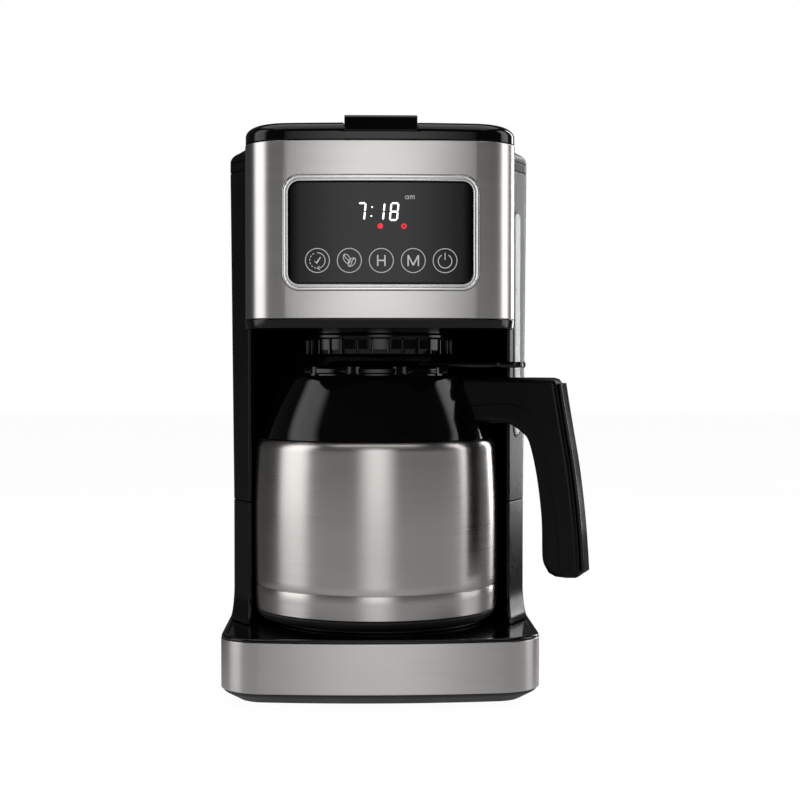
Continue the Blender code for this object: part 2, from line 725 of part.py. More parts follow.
def tower_upper():
    low, high = TOWER_SEAM, RIM_SEAM - GAP
    housing = loft("tower_upper", [
        (tower_outline(tower_half(low)), low), (tower_outline(tower_half(high)), high),
    ], SATIN)
    hollow = loft("upper_hollow", [
        (tower_outline(tower_half(low), TOWER_WALL), low - 1),
        (tower_outline(tower_half(high), TOWER_WALL), high + 1),
    ], SATIN)
    slot = window_prism(
        "window_slot", WINDOW_WIDTH + 2 * GAP, WINDOW_LOW - GAP, WINDOW_HIGH + GAP, 6, -TOWER_WALL - 1.2
    )
    cut(housing, hollow, slot)


def water_window():
    window_prism("water_window", WINDOW_WIDTH, WINDOW_LOW, WINDOW_HIGH, 0.1, 0.1 - WINDOW_THICKNESS)


def tank_outline(wall, half):
    """The part of the tower's inside that holds water: its back and its right arm."""
    run = tower_outline(half, wall)
    right = run[: len(run) // 2 + 1]
    back = [p for p in right if p[0] > 1e-6]
    left = TANK_LEFT + wall - TOWER_WALL
    return back + [(left, BASE_BACK - wall), (left, BAY_BACK + wall)]


def water_tank():
    outside = TOWER_WALL + TANK_FIT
    inside = outside + TANK_WALL
    high = RIM_SEAM - GAP
    tank = loft("water_tank", [
        (tank_outline(outside, tower_half(TANK_FLOOR)), TANK_FLOOR),
        (tank_outline(outside, tower_half(high)), high),
    ], CLEAR)
    hollow = loft("tank_hollow", [
        (tank_outline(inside, tower_half(TANK_FLOOR)), TANK_FLOOR + 1.8),
        (tank_outline(inside, tower_half(high)), high + 1),
    ], CLEAR)
    low, top = TANK_FLOOR - 2, TANK_FLOOR + 4
    cut(tank, hollow, disc("tank_outlet", OUTLET_RADIUS + GAP, low, top, OUTLET_X, OUTLET_Y, sides=20))


def tank_rim():
    high = CAP_SEAM - GAP
    rim = prism("tank_rim", tower_outline(TOWER_HALF_TOP), RIM_SEAM, high, SATIN)
    opening = rect(TANK_LEFT + 6, BAY_BACK + 8, -TANK_LEFT - 6, BASE_BACK - 26)
    mouth = prism("tank_mouth", opening, RIM_SEAM - 1, high + 1)
    hole = disc("riser_hole", RISER_RADIUS + GAP, RIM_SEAM - 1, high + 1, RISER_X, RISER_Y, sides=20)
    cut(rim, mouth, hole)


def hinge_bar(name, radius, half, look=SATIN):
    return rod(name, radius, (-half, HINGE_Y, HINGE_Z), (half, HINGE_Y, HINGE_Z), look)


def tower_cap():
    """The rounded shoulders beside and behind the lid, with the lid's two hinge lugs."""
    inner = dict(bay_half=CAP_INNER, bay_back=LID_BACK + 1.2, bay_corner=14.0)
    sections = []
    shoulder = 9.0
    for i in range(6):
        turn = radians(90 * i / 5)
        inset = shoulder * (1 - cos(turn))
        height = TOWER_TOP - (TOWER_TOP - CAP_SEAM - 0.6) * (1 - sin(turn))
        sections.append((cap_outline(inset, inner), height))
    sections.insert(0, (sections[0][0], CAP_SEAM))
    cap = loft("tower_cap", sections, SATIN)
    for side in (-1, 1):
        near, far = sorted((side * LUG_NEAR, side * LUG_FAR))
        ends = (near, HINGE_Y, HINGE_Z), (far, HINGE_Y, HINGE_Z)
        barrel = rod("lug_barrel_%d" % side, KNUCKLE_RADIUS, *ends, SATIN)
        arm = box("lug_arm_%d" % side, (near, HINGE_Y, CAP_SEAM + 2), (far, LID_BACK + 3, HINGE_Z))
        add(cap, barrel, arm)
    cut(cap, hinge_bar("cap_pin_hole", HINGE_PIN_RADIUS + PIN_FIT, LUG_FAR + 2))


def cap_outline(inset, inner):
    """The cap's plan with its outer edge drawn in by inset and its inner edge kept."""
    full = tower_outline(TOWER_HALF_TOP, **inner)
    drawn = []
    for x, y in full:
        on_inner = abs(x) <= CAP_INNER + 1e-3 and y <= LID_BACK + 1.3
        if on_inner:
            drawn.append((x, y + (inset * 0.4 if y < TOWER_FRONT + 1 else 0)))
            continue
        reach = max(0.0, abs(x) - CAP_INNER - 1.5)
        move_x = min(inset, reach)
        move_y = inset if y > LID_BACK + 2 else 0.0
        drawn.append((x - move_x * (1 if x > 0 else -1), y - min(move_y, max(0.0, y - LID_BACK - 4))))
    return drawn


# ---------------------------------------------------------------- water path


def tank_valve():
    top = TANK_FLOOR + 8
    low, seat = TANK_FLOOR - VALVE_DROP, TANK_FLOOR - GAP
    profile = [(0, low), (OUTLET_RADIUS + 1, low), (OUTLET_RADIUS + 1, seat), (OUTLET_RADIUS, seat),
               (OUTLET_RADIUS, top), (0, top)]
    turned("tank_valve", profile, OUTLET_X, OUTLET_Y, SILICONE, 20)


def heater():
    """An aluminium casting bent into a U, its two ends towards the back."""
    bend = HEATER_HALF - 14
    left = arc(-HEATER_HALF + bend, HEATER_FRONT + bend - 8, bend, 180, 270, 6)
    right = arc(HEATER_HALF - bend, HEATER_FRONT + bend - 8, bend, 270, 360, 6)
    run = [(-HEATER_HALF, HEATER_BACK)] + left + right + [(HEATER_HALF, HEATER_BACK)]
    tube("heater", [(x, y, HEATER_Z) for x, y in run], HEATER_RADIUS, ALUMINIUM, 4)


def hoses():
    start = HEATER_BACK + GAP + 0.2
    turn = HEATER_BACK + 8
    cold = [(OUTLET_X, OUTLET_Y, TANK_FLOOR - VALVE_DROP - GAP), (OUTLET_X, OUTLET_Y + 2, HEATER_Z + 26),
            (HEATER_HALF, turn - 6, HEATER_Z + 16), (HEATER_HALF, turn, HEATER_Z + 6),
            (HEATER_HALF, start + 3.5, HEATER_Z)]
    tube("cold_hose", smooth_route(cold), 4.0, SILICONE, 2)
    hot = [(-HEATER_HALF, start + 3.5, HEATER_Z), (-HEATER_HALF - 8, turn, HEATER_Z + 6),
           (RISER_X + 10, turn - 8, HEATER_Z + 24), (RISER_X, RISER_Y + 16, HEATER_Z + 46),
           (RISER_X, RISER_Y + 2, HEATER_Z + 74), (RISER_X, RISER_Y, HEATER_Z + 114),
           (RISER_X, RISER_Y, CAP_SEAM - 81), (RISER_X, RISER_Y, CAP_SEAM - 31),
           (RISER_X, RISER_Y, CAP_SEAM + 1.5)]
    tube("riser_tube", smooth_route(hot), RISER_RADIUS, SILICONE, 2)


def heat_guards():
    low = HEATER_Z + HEATER_RADIUS + GAP
    disc("thermostat", 8, low, low + 7, 0, HEATER_FRONT - 8, CHROME, 24)
    middle = low + 2.4
    rod("thermal_fuse", 2.2, (-26, HEATER_FRONT + 6, middle), (-14, HEATER_FRONT - 4, middle), CHROME, 12)


# ---------------------------------------------------------------- head


def bowed_slab(name, outline, front, thickness, look):
    """An outline in X and Z cut from a plate that follows the head's bowed front."""
    radius = FRONT_BOW + PANEL_OFFSET - front
    depth = HEAD_FRONT + front
    span = asin((BEZEL_WIDTH / 2 + 6) / radius) * 180 / pi
    outer = arc(0, depth + radius, radius, -90 - span, -90 + span, 12)
    inner = arc(0, depth + radius, radius - thickness, -90 + span, -90 - span, 12)
    plate = standing(name, outline, 0, PANEL_CENTRE_Z, HEAD_FRONT - 10, HEAD_FRONT + 20, look)
    slab = prism(name + "_bow", outer + inner, PANEL_CENTRE_Z - BEZEL_HEIGHT, PANEL_CENTRE_Z + BEZEL_HEIGHT)
    return boolean(plate, slab, "INTERSECT")


def panel_cutter(name, grow):
    outline = rounded_rect(BEZEL_WIDTH + 2 * grow, BEZEL_HEIGHT + 2 * grow, BEZEL_CORNER + grow)
    return standing(name, outline, 0, PANEL_CENTRE_Z, HEAD_FRONT - 10, HEAD_FRONT + 14)


def head_housing():
    low, high = BAY_TOP, HEAD_TOP - GAP
    housing = prism("head_housing", head_outline(0), low, high, SATIN)
    lower_room = prism("lower_room", head_outline(-HEAD_WALL), low + HEAD_FLOOR, FUNNEL_DECK)
    upper_room = prism("upper_room", head_outline(-HEAD_WALL), DECK_UPPER, high + 1)
    well = disc("funnel_well", FUNNEL_TOP_RADIUS + 1, FUNNEL_DECK - 1, HEAD_TOP, 0, CARAFE_Y, sides=48)
    mouth = disc("funnel_mouth", FUNNEL_THROAT_RADIUS + 3, low - 1, low + 4, 0, CARAFE_Y, sides=48)
    cut(housing, lower_room, upper_room, well, mouth, panel_cutter("housing_window", GAP))


def head_band(name, low, high, grow, look):
    """A sheet round the head's front and sides, open at the back."""
    band = prism(name, head_outline(PANEL_OFFSET + grow), low, high, look)
    inside = prism(name + "_inside", head_outline(GAP), low - 1, high + 1)
    rear = box(name + "_rear", (-BASE_HALF, TOWER_FRONT - FIT, low - 2), (BASE_HALF, BASE_BACK, high + 2))
    return cut(band, inside, rear)


def head_panel():
    panel = head_band("head_panel", BAY_TOP + LIP_HEIGHT + GAP, HEAD_TOP - GAP, 0, STEEL)
    cut(panel, panel_cutter("panel_window", GAP))


def head_lip():
    head_band("head_lip", BAY_TOP - 0.3, BAY_TOP + LIP_HEIGHT, 0.5, GLOSS)


def touch_panel():
    inner_width = BEZEL_WIDTH - 2 * BEZEL_RING
    inner_height = BEZEL_HEIGHT - 2 * BEZEL_RING
    inner_corner = BEZEL_CORNER - BEZEL_RING
    frame = rounded_rect(BEZEL_WIDTH, BEZEL_HEIGHT, BEZEL_CORNER)
    bezel = bowed_slab("display_bezel", frame, -0.7, 3.4, CHROME)
    opening = rounded_rect(inner_width + 2 * GAP, inner_height + 2 * GAP, inner_corner + GAP)
    hole = standing("bezel_hole", opening, 0, PANEL_CENTRE_Z, HEAD_FRONT - 10, HEAD_FRONT + 14)
    cut(bezel, hole)
    bowed_slab("display_glass", rounded_rect(inner_width, inner_height, inner_corner), -0.2, 2.0, GLASS)
    board_y = HEAD_FRONT + 9
    half, rise = inner_width / 2 - 5.7, inner_height / 2 - 3.65
    low, high = PANEL_CENTRE_Z - rise, PANEL_CENTRE_Z + rise
    box("display_board", (-half, board_y, low), (half, board_y + 1.6, high), BOARD)


# ---------------------------------------------------------------- brew funnel


def brew_funnel():
    """A straight throat under a cone, with a rim that stands on the head's deck."""
    rim, rim_top, shoulder = FUNNEL_RIM_LOW, FUNNEL_RIM_LOW + FUNNEL_RIM, BAY_TOP + 4
    throat, inside, top = FUNNEL_THROAT_RADIUS, FUNNEL_THROAT_RADIUS - FUNNEL_WALL, FUNNEL_TOP_RADIUS
    profile = [(DRIP_BORE, FUNNEL_BOTTOM + 1), (throat - 1.5, FUNNEL_BOTTOM), (throat, FUNNEL_BOTTOM + 3),
               (throat, shoulder), (top - FUNNEL_WALL, rim), (top + 4, rim), (top + 4, rim_top),
               (top - 2 * FUNNEL_WALL, rim_top), (inside, shoulder), (inside, DRIP_SHELF + 3),
               (DRIP_BORE, DRIP_SHELF)]
    funnel = turned("brew_funnel", profile, 0, CARAFE_Y, GLOSS, 40)
    bar_low, half, side = SPRING_TOP + GAP, throat - FUNNEL_WALL / 2, 4
    bar = box("spring_bar", (-half, CARAFE_Y - side, bar_low), (half, CARAFE_Y + side, bar_low + 2))
    cut(add(funnel, bar), disc("stem_hole", DRIP_STEM + 0.8, bar_low - 1, bar_low + 3, 0, CARAFE_Y, sides=12))


def drip_stop():
    """The plunger under the funnel, which the carafe's lid lifts, and its return spring."""
    nose, flange, top = DRIP_BORE - FIT, DRIP_BORE + 2.6, SPRING_TOP + 6
    profile = [(0, DRIP_TIP), (nose - 1.2, DRIP_TIP), (nose, DRIP_TIP + 1), (nose, DRIP_SEAT - 1.5),
               (flange, DRIP_SEAT - 1.5), (flange, DRIP_SEAT), (DRIP_STEM, DRIP_SEAT), (DRIP_STEM, top),
               (0, top)]
    turned("drip_plunger", profile, 0, CARAFE_Y, SATIN, 20)
    coil("drip_spring", 0, CARAFE_Y, DRIP_SEAT + GAP, SPRING_TOP, DRIP_STEM + 2.2, 0.5, 4, CHROME)


def mesh_filter():
    """A basket with a wide rim, standing in the funnel."""
    rim = FUNNEL_RIM_LOW + FUNNEL_RIM + GAP
    rim_top, floor, wall = rim + FILTER_RIM, BAY_TOP + FILTER_RISE, 1.4
    low_radius, top_radius = FUNNEL_THROAT_RADIUS - 6, FUNNEL_TOP_RADIUS - 2 * FUNNEL_WALL - 2.5
    edge = FUNNEL_TOP_RADIUS - 1
    profile = [(0, floor), (low_radius, floor), (top_radius, rim), (edge, rim), (edge, rim_top),
               (top_radius - 1.5, rim_top), (low_radius - wall, floor + wall), (0, floor + wall)]
    turned("mesh_filter", profile, 0, CARAFE_Y, MATT, 36)


# ---------------------------------------------------------------- top lid


def lid_outline(inset):
    return bowed_outline(
        LID_HALF - inset, HEAD_FRONT + 0.2 + inset, LID_BACK - inset,
        HEAD_CORNER + 1 - min(inset, HEAD_CORNER - 4), 13.0 - min(inset, 10.0), FRONT_BOW - inset,
    )


def lid_sections(wall):
    """A vertical band, then a rounded shoulder that turns into a nearly flat top."""
    band_top = LID_LOW + LID_BAND
    sections = [(lid_outline(wall), LID_LOW - (1 if wall else 0)), (lid_outline(wall), band_top - wall)]
    shoulder = 11.0
    rise = LID_DOME - 2.6
    for i in range(1, 4):
        turn = radians(90 * i / 3)
        inset = shoulder * (1 - cos(turn))
        sections.append((lid_outline(wall + inset), band_top - wall + rise * sin(turn)))
    sections.append((lid_outline(wall + 32), LID_TOP - 0.6 - wall))
    sections.append((lid_outline(wall + 52), LID_TOP - wall))
    return sections


def top_lid():
    lid = loft("top_lid", lid_sections(0), GLOSS)
    cut(lid, loft("lid_hollow", lid_sections(LID_WALL), GLOSS))
    add(lid, hinge_bar("lid_barrel", KNUCKLE_RADIUS, LUG_NEAR - FIT))
    cut(lid, hinge_bar("lid_pin_hole", HINGE_PIN_RADIUS + PIN_FIT, LUG_NEAR + 2))
    for side in (-1, 1):
        near, far = sorted((side * (LUG_NEAR - FIT), side * (LUG_FAR + FIT)))
        cut(lid, box("lid_notch_%d" % side, (near, HINGE_Y - 6, LID_LOW - 2), (far, LID_BACK + 4, TAB_TOP)))
    pocket = box("tab_pocket", (-TAB_WIDTH / 2 - FIT, HEAD_FRONT - 6, LID_LOW + LID_BAND),
                 (TAB_WIDTH / 2 + FIT, HEAD_FRONT + TAB_DEPTH + FIT, TAB_TOP + 4))
    cut(lid, pocket)
    set_origin(lid, 0, HINGE_Y, HINGE_Z)


def lid_tab():
    """The finger tab, a wedge that stands in the lid's front edge."""
    half, low = TAB_WIDTH / 2, LID_LOW + LID_BAND + GAP
    front, back = HEAD_FRONT - 1.2, HEAD_FRONT + TAB_DEPTH
    tab = hull("lid_tab", [
        (-half, front, low), (half, front, low), (-half, back, low), (half, back, low),
        (-half, front, TAB_TOP - 4.2), (half, front, TAB_TOP - 4.2),
        (-half + 0.8, front + 2.6, TAB_TOP - 2), (half - 0.8, front + 2.6, TAB_TOP - 2),
        (-half + 0.8, back - 2, TAB_TOP), (half - 0.8, back - 2, TAB_TOP),
        (-half, back, TAB_TOP - 2), (half, back, TAB_TOP - 2),
    ], GLOSS)
    set_origin(tab, 0, HINGE_Y, HINGE_Z)


def hinge_pin():
    hinge_bar("lid_hinge_pin", HINGE_PIN_RADIUS, LUG_FAR - 0.5, STEEL)


def shower_head():
    """The spreader under the lid and the channel that feeds it from the riser tube."""
    low = DECK_UPPER + 12.0
    roof = LID_TOP - LID_WALL - 2.2
    channel = HEAD_TOP + 1.2
    radius = FUNNEL_THROAT_RADIUS - 7.6
    head = disc("shower_head", radius, low, low + 3, 0, CARAFE_Y, SATIN, 32)
    neck = disc("shower_neck", 9, low + 2, roof, 0, CARAFE_Y, sides=20)
    run = Vector((RISER_X, RISER_Y)) - Vector((0, CARAFE_Y))
    side = Vector((-run.y, run.x)).normalized() * 5
    near, far = Vector((0, CARAFE_Y)), Vector((RISER_X, RISER_Y))
    ends = [near + side, near - side, far - side, far + side]
    duct = prism("shower_duct", [(p.x, p.y) for p in ends], channel, channel + 5)
    add(head, neck, duct)
    for i in range(8):
        turn = 2 * pi * i / 8
        x, y = (radius - 12) * cos(turn), CARAFE_Y + (radius - 12) * sin(turn)
        cut(head, disc("shower_hole_%d" % i, 1.6, low - 1, low + 6, x, y, sides=8))
    set_origin(head, 0, HINGE_Y, HINGE_Z)


# ---------------------------------------------------------------- carafe


def carafe_at(radius, across, height):
    """A point of the carafe from its distance along the handle, across it, and its height."""
    turn = radians(HANDLE_TURN)
    x = CARAFE_X + radius * cos(turn) - across * sin(turn)
    y = CARAFE_Y + radius * sin(turn) + across * cos(turn)
    return (x, y, height)


def aim(piece):
    """Turn a piece drawn along +X about the origin to the handle's direction on the carafe."""
    place = Matrix.Translation(Vector((CARAFE_X, CARAFE_Y, 0)) * MM)
    piece.data.transform(place @ Matrix.Rotation(radians(HANDLE_TURN), 4, "Z"))
    return piece


def carafe_part(name, profile, look, sides=48):
    return turned(name, profile, CARAFE_X, CARAFE_Y, look, sides)


def body_radius(height):
    """The steel body swells a little from its foot and rounds in to its shoulder."""
    bend = CARAFE_SHOULDER - SHOULDER_ROUND
    if height < BELLY:
        return CARAFE_RADIUS - 0.4 * (BELLY - height) / (BELLY - BODY_LOW)
    if height < bend:
        return CARAFE_RADIUS - BODY_TAPER * ((height - BELLY) / (bend - BELLY)) ** 2
    last = min(1.0, (height - bend) / SHOULDER_ROUND)
    start = CARAFE_RADIUS - BODY_TAPER
    return start - (start - SHOULDER_RADIUS) * (1 - sqrt(1 - last * last))


def carafe_shell():
    groove = [GROOVE_HEIGHT - 0.9, GROOVE_HEIGHT - 0.4, GROOVE_HEIGHT + 0.4, GROOVE_HEIGHT + 0.9]
    bend = CARAFE_SHOULDER - SHOULDER_ROUND
    upper = [BELLY + (bend - BELLY) * i / 3 for i in range(4)]
    shoulder = [bend + SHOULDER_ROUND * share for share in (0.5, 0.85, 1)]
    outside = []
    for height in [BODY_LOW] + groove + upper + shoulder:
        sunk = GROOVE if abs(height - GROOVE_HEIGHT) < 0.5 else 0
        outside.append((body_radius(height) - sunk, height))
    inside = [(body_radius(h) - CARAFE_WALL, h) for h in (CARAFE_SHOULDER, bend, upper[2], BELLY)]
    inside.append((body_radius(BODY_LOW) - CARAFE_WALL, BODY_LOW + CARAFE_WALL))
    profile = [(0, BODY_LOW)] + outside + inside + [(0, BODY_LOW + CARAFE_WALL)]
    carafe_part("carafe_shell", profile, STEEL)


def carafe_liner():
    low, wide, bend = BODY_LOW + 5, CARAFE_RADIUS - 8, CARAFE_SHOULDER
    steps = [(0, low), (wide - 5, low), (wide, low + 6), (wide, bend - 17.6), (SHOULDER_RADIUS - 11.9, bend + 4.4),
             (NECK_RADIUS, bend + 16.4), (NECK_RADIUS, COLLAR_TOP - 4)]
    inner = [(max(r - CARAFE_WALL, 0), h + (CARAFE_WALL if h == low else 0)) for r, h in reversed(steps)]
    carafe_part("carafe_liner", steps + inner, STEEL, 36)


def carafe_base_ring():
    top = BODY_LOW - GAP
    wide = CARAFE_RADIUS - 1.4
    profile = [(0, CARAFE_BASE), (wide - 5.1, CARAFE_BASE), (wide - 1.4, CARAFE_BASE + 2.2),
               (wide, CARAFE_BASE + 4.6), (wide, top), (0, top)]
    carafe_part("carafe_base", profile, MATT)


def collar_radius(height, grow=0.0):
    share = (COLLAR_TOP - height) / (COLLAR_TOP - CARAFE_SHOULDER - GAP)
    bulge = COLLAR_BULGE * sin(pi * min(max(share, 0), 1))
    return COLLAR_TOP_RADIUS + (SHOULDER_RADIUS - COLLAR_TOP_RADIUS) * share + bulge + grow


def collar_heights():
    low = CARAFE_SHOULDER + GAP
    return [low + (COLLAR_TOP - 1 - low) * i / 4 for i in range(5)]


def spout(name, root, reach, top, look=GLOSS):
    """A beak that grows out of the collar opposite the handle; root widens with the beak."""
    edge = COLLAR_TOP_RADIUS
    tip = -(edge + reach)
    return aim(hull(name, [
        (tip, root * 0.12, top), (tip, -root * 0.12, top), (tip + 2, 0, top - 2.6),
        (-edge + 2, root, top), (-edge + 2, -root, top),
        (-edge + 3, root, top - 2), (-edge + 3, -root, top - 2),
        (-edge - 1, root * 0.35, top - 11), (-edge - 1, -root * 0.35, top - 11), (-edge + 4, 0, top - 13),
    ], look))


def carafe_collar():
    outside = [(collar_radius(h), h) for h in collar_heights()] + [(COLLAR_TOP_RADIUS - 0.6, COLLAR_TOP)]
    inside = [(collar_radius(h) - COLLAR_WALL, h) for h in reversed(collar_heights()[:-1:2])]
    hole = NECK_RADIUS + GAP
    profile = outside + [(hole, COLLAR_TOP), (hole, COLLAR_TOP - 2.6)] + inside
    collar = carafe_part("carafe_collar", profile, GLOSS)
    channel = spout("spout_channel", 11.0, SPOUT_REACH - 2.4, COLLAR_TOP + 2.2)
    add(collar, spout("spout_beak", 15.0, SPOUT_REACH, COLLAR_TOP + 0.6))
    cut(collar, channel)


def handle_back(inset):
    """The handle's outer edge from top to bottom, drawn in by inset."""
    reach = CARAFE_RADIUS + HANDLE_REACH - inset
    start, bend = (reach - 14.6, HANDLE_TOP - 2.7), (reach - 3.2, HANDLE_TOP - 55.2)
    end = (reach, HANDLE_LOW + 2.2)
    control = (2 * bend[0] - (start[0] + end[0]) / 2, 2 * bend[1] - (start[1] + end[1]) / 2)
    return [start] + curve(start, control, end, 8)


def handle_inner():
    """The finger side, from the foot up and round to the collar."""
    reach = CARAFE_RADIUS + HANDLE_REACH - 25.0
    low, high = (reach, HANDLE_LOW + 7.2), (reach - 8.2, HANDLE_UNDER - 14)
    line = [low] + curve(low, (reach - 1.6, HANDLE_UNDER - 48), high, 5)
    return line + curve(high, (reach - 12.2, HANDLE_UNDER), (CARAFE_RADIUS + 6, HANDLE_UNDER), 5)


def carafe_handle():
    reach = CARAFE_RADIUS + HANDLE_REACH
    outline = [(NECK_RADIUS, HANDLE_TOP), (reach - 19.1, HANDLE_TOP)] + handle_back(STRIP + GAP)
    outline += [(reach - 4.6 - STRIP, HANDLE_LOW), (reach - 17.6, HANDLE_LOW + 0.3)] + handle_inner()
    outline += [(NECK_RADIUS, HANDLE_UNDER)]
    handle = aim(standing("carafe_handle", outline, 0, 0, -HANDLE_HALF, HANDLE_HALF, SATIN))
    low, rise = CARAFE_SHOULDER - 5.6, (COLLAR_HEIGHT + 0.2) / 4
    heights = [low + rise * i for i in range(5)] + [COLLAR_TOP]
    clear = [(0, low)] + [(collar_radius(h, GAP), h) for h in heights] + [(0, COLLAR_TOP)]
    cut(handle, carafe_part("collar_clearance", clear, GLOSS))
    start, end = screw_ends()
    screw = rod("handle_screw_hole", SCREW_RADIUS + GAP, (start - 9, 0, HANDLE_SCREW_Z),
                (end + 1, 0, HANDLE_SCREW_Z), SATIN, 12)
    cut(handle, aim(screw))


def screw_ends():
    """Where the handle's screw starts, clear of the collar, and ends, along the handle."""
    return collar_radius(HANDLE_SCREW_Z - SCREW_RADIUS) + GAP, CARAFE_RADIUS - 4


def handle_strip():
    outline = handle_back(0) + list(reversed(handle_back(STRIP)))
    aim(standing("handle_strip", outline, 0, 0, -HANDLE_HALF + 2.5, HANDLE_HALF - 2.5, GLOSS))


def handle_screw():
    """Holds the handle to the collar from inside the neck."""
    start, end = screw_ends()
    aim(rod("handle_screw", SCREW_RADIUS, (start, 0, HANDLE_SCREW_Z), (end, 0, HANDLE_SCREW_Z), STEEL, 12))


# ---------------------------------------------------------------- carafe lid


def carafe_lid():
    seat = COLLAR_TOP + 0.6 + GAP
    groove, groove_top = PLUG_RADIUS - GASKET_GROOVE, GASKET_LOW + GASKET_HEIGHT
    profile = [(0, PLUG_LOW), (PLUG_RADIUS - 1, PLUG_LOW), (PLUG_RADIUS, PLUG_LOW + 1),
               (PLUG_RADIUS, GASKET_LOW), (groove, GASKET_LOW), (groove, groove_top),
               (PLUG_RADIUS, groove_top), (PLUG_RADIUS, seat),
               (LID_FLANGE_RADIUS, seat), (LID_FLANGE_RADIUS, LID_FLANGE_TOP - 1),
               (LID_FLANGE_RADIUS - 1, LID_FLANGE_TOP), (LID_DISC_RADIUS + 3, LID_FLANGE_TOP),
               (LID_DISC_RADIUS, LID_DISC_TOP - 1), (LID_DISC_RADIUS - 1, LID_DISC_TOP), (0, LID_DISC_TOP)]
    lid = carafe_part("carafe_lid", profile, GLOSS)
    for i in range(SCALLOPS):
        turn = radians(HANDLE_TURN + 360 * (i + 0.5) / SCALLOPS)
        x = CARAFE_X + (LID_FLANGE_RADIUS + 3.4) * cos(turn)
        y = CARAFE_Y + (LID_FLANGE_RADIUS + 3.4) * sin(turn)
        cut(lid, disc("lid_scallop_%d" % i, SCALLOP_RADIUS, seat - 1, LID_DISC_TOP + 1, x, y, sides=10))
    far = LID_FLANGE_RADIUS + 6
    slot = aim(box("lever_slot", (-8, -LEVER_SLOT, SLOT_FLOOR), (far, LEVER_SLOT, LID_DISC_TOP + 2)))
    room, stem = VALVE_RADIUS + 3, VALVE_STEM + FIT
    profile = [(0, PLUG_LOW - 2), (VALVE_PORT, PLUG_LOW - 2), (VALVE_PORT, VALVE_FLOOR), (room, VALVE_FLOOR),
               (room, CHAMBER_ROOF), (stem, CHAMBER_ROOF), (stem, SLOT_FLOOR + 1), (0, SLOT_FLOOR + 1)]
    chamber = carafe_part("valve_chamber", profile, GLOSS, 20)
    reach = LEVER_PIN_HALF + 0.4
    pin_hole = aim(rod("lever_pin_hole", LEVER_PIN_RADIUS + GAP, (LEVER_PIVOT, -reach, LEVER_PIN_Z),
                       (LEVER_PIVOT, reach, LEVER_PIN_Z), GLOSS, 12))
    cut(lid, slot, chamber, pin_hole)
    set_origin(lid, CARAFE_X, CARAFE_Y, PLUG_LOW)


def lid_gasket():
    low = GASKET_LOW + GAP
    high = GASKET_LOW + GASKET_HEIGHT - GAP
    inner, outer = PLUG_RADIUS - GASKET_GROOVE + GAP, NECK_RADIUS - GASKET_FIT
    carafe_part("lid_gasket", [(inner, low), (outer, low), (outer, high), (inner, high)], SILICONE, 48)


def thumb_lever():
    """A bar on a pin: its outer end is pressed, and its fork lifts the pour valve."""
    tip, inner, pad = LEVER_TIP, -3.5, 9.0
    edge = [(inner, LEVER_HALF), (tip - 26, LEVER_HALF), (tip - 12, pad), (tip - 4, pad)]
    edge += arc(tip - 4, pad - 4, 4, 90, 0, 3)[1:]
    outline = [(x, -y) for x, y in edge] + list(reversed(edge))
    lever = aim(prism("thumb_lever", outline, LEVER_LOW, LEVER_TOP, GLOSS))
    bore = aim(rod("lever_bore", LEVER_PIN_RADIUS + GAP, (LEVER_PIVOT, -2 * LEVER_HALF, LEVER_PIN_Z),
                   (LEVER_PIVOT, 2 * LEVER_HALF, LEVER_PIN_Z), GLOSS, 12))
    slot = VALVE_STEM + 0.8
    fork = aim(box("lever_fork", (inner - 1, -slot, LEVER_LOW - 1), (slot, slot, LEVER_TOP + 1)))
    side = LEVER_HALF + 1
    step = aim(box("fork_step", (inner - 1, -side, FORK_TOP), (STEM_HEAD + 3, side, LEVER_TOP + 1)))
    cut(lever, bore, fork, step)
    set_origin(lever, *carafe_at(LEVER_PIVOT, 0, LEVER_PIN_Z))


def lever_pin():
    aim(rod("lever_pin", LEVER_PIN_RADIUS, (LEVER_PIVOT, -LEVER_PIN_HALF, LEVER_PIN_Z),
            (LEVER_PIVOT, LEVER_PIN_HALF, LEVER_PIN_Z), STEEL, 12))


def pour_valve():
    """A plate that closes the port in the lid's floor, on a stem held by the lever's fork."""
    low = VALVE_FLOOR + GAP
    plate_top, head_low = low + VALVE_PLATE, FORK_TOP + GAP
    head_top = head_low + STEM_HEAD_HEIGHT
    profile = [(0, low), (VALVE_RADIUS, low), (VALVE_RADIUS, plate_top), (VALVE_STEM, plate_top),
               (VALVE_STEM, head_low), (STEM_HEAD, head_low), (STEM_HEAD, head_top), (0, head_top)]
    carafe_part("pour_valve", profile, SILICONE, 20)
    low, high = plate_top + GAP, CHAMBER_ROOF - GAP
    coil("lever_spring", CARAFE_X, CARAFE_Y, low, high, VALVE_STEM + 2, 0.4, 4, CHROME)


# ---------------------------------------------------------------- the whole object


def build():
    for old in list(bpy.data.objects):
        bpy.data.objects.remove(old, do_unlink=True)
    base_pan()
    feet()
    base_screws()
    base_band()
    base_deck()
    cable_gland()
    carafe_rest()
    power_board()
    tower_lower()
    tower_upper()
    water_window()
    water_tank()
    tank_rim()
    tower_cap()
    tank_valve()
    heater()
    hoses()
    heat_guards()
    head_housing()
    head_panel()
    head_lip()
    touch_panel()
    brew_funnel()
    drip_stop()
    mesh_filter()
    top_lid()
    lid_tab()
    hinge_pin()
    shower_head()
    carafe_shell()
    carafe_liner()
    carafe_base_ring()
    carafe_collar()
    carafe_handle()
    handle_strip()
    handle_screw()
    carafe_lid()
    lid_gasket()
    thumb_lever()
    lever_pin()
    pour_valve()


build()
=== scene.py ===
from math import asin, atan2, cos, degrees, pi, radians, sin, sqrt

import bmesh
import bpy
from mathutils import Matrix, Vector


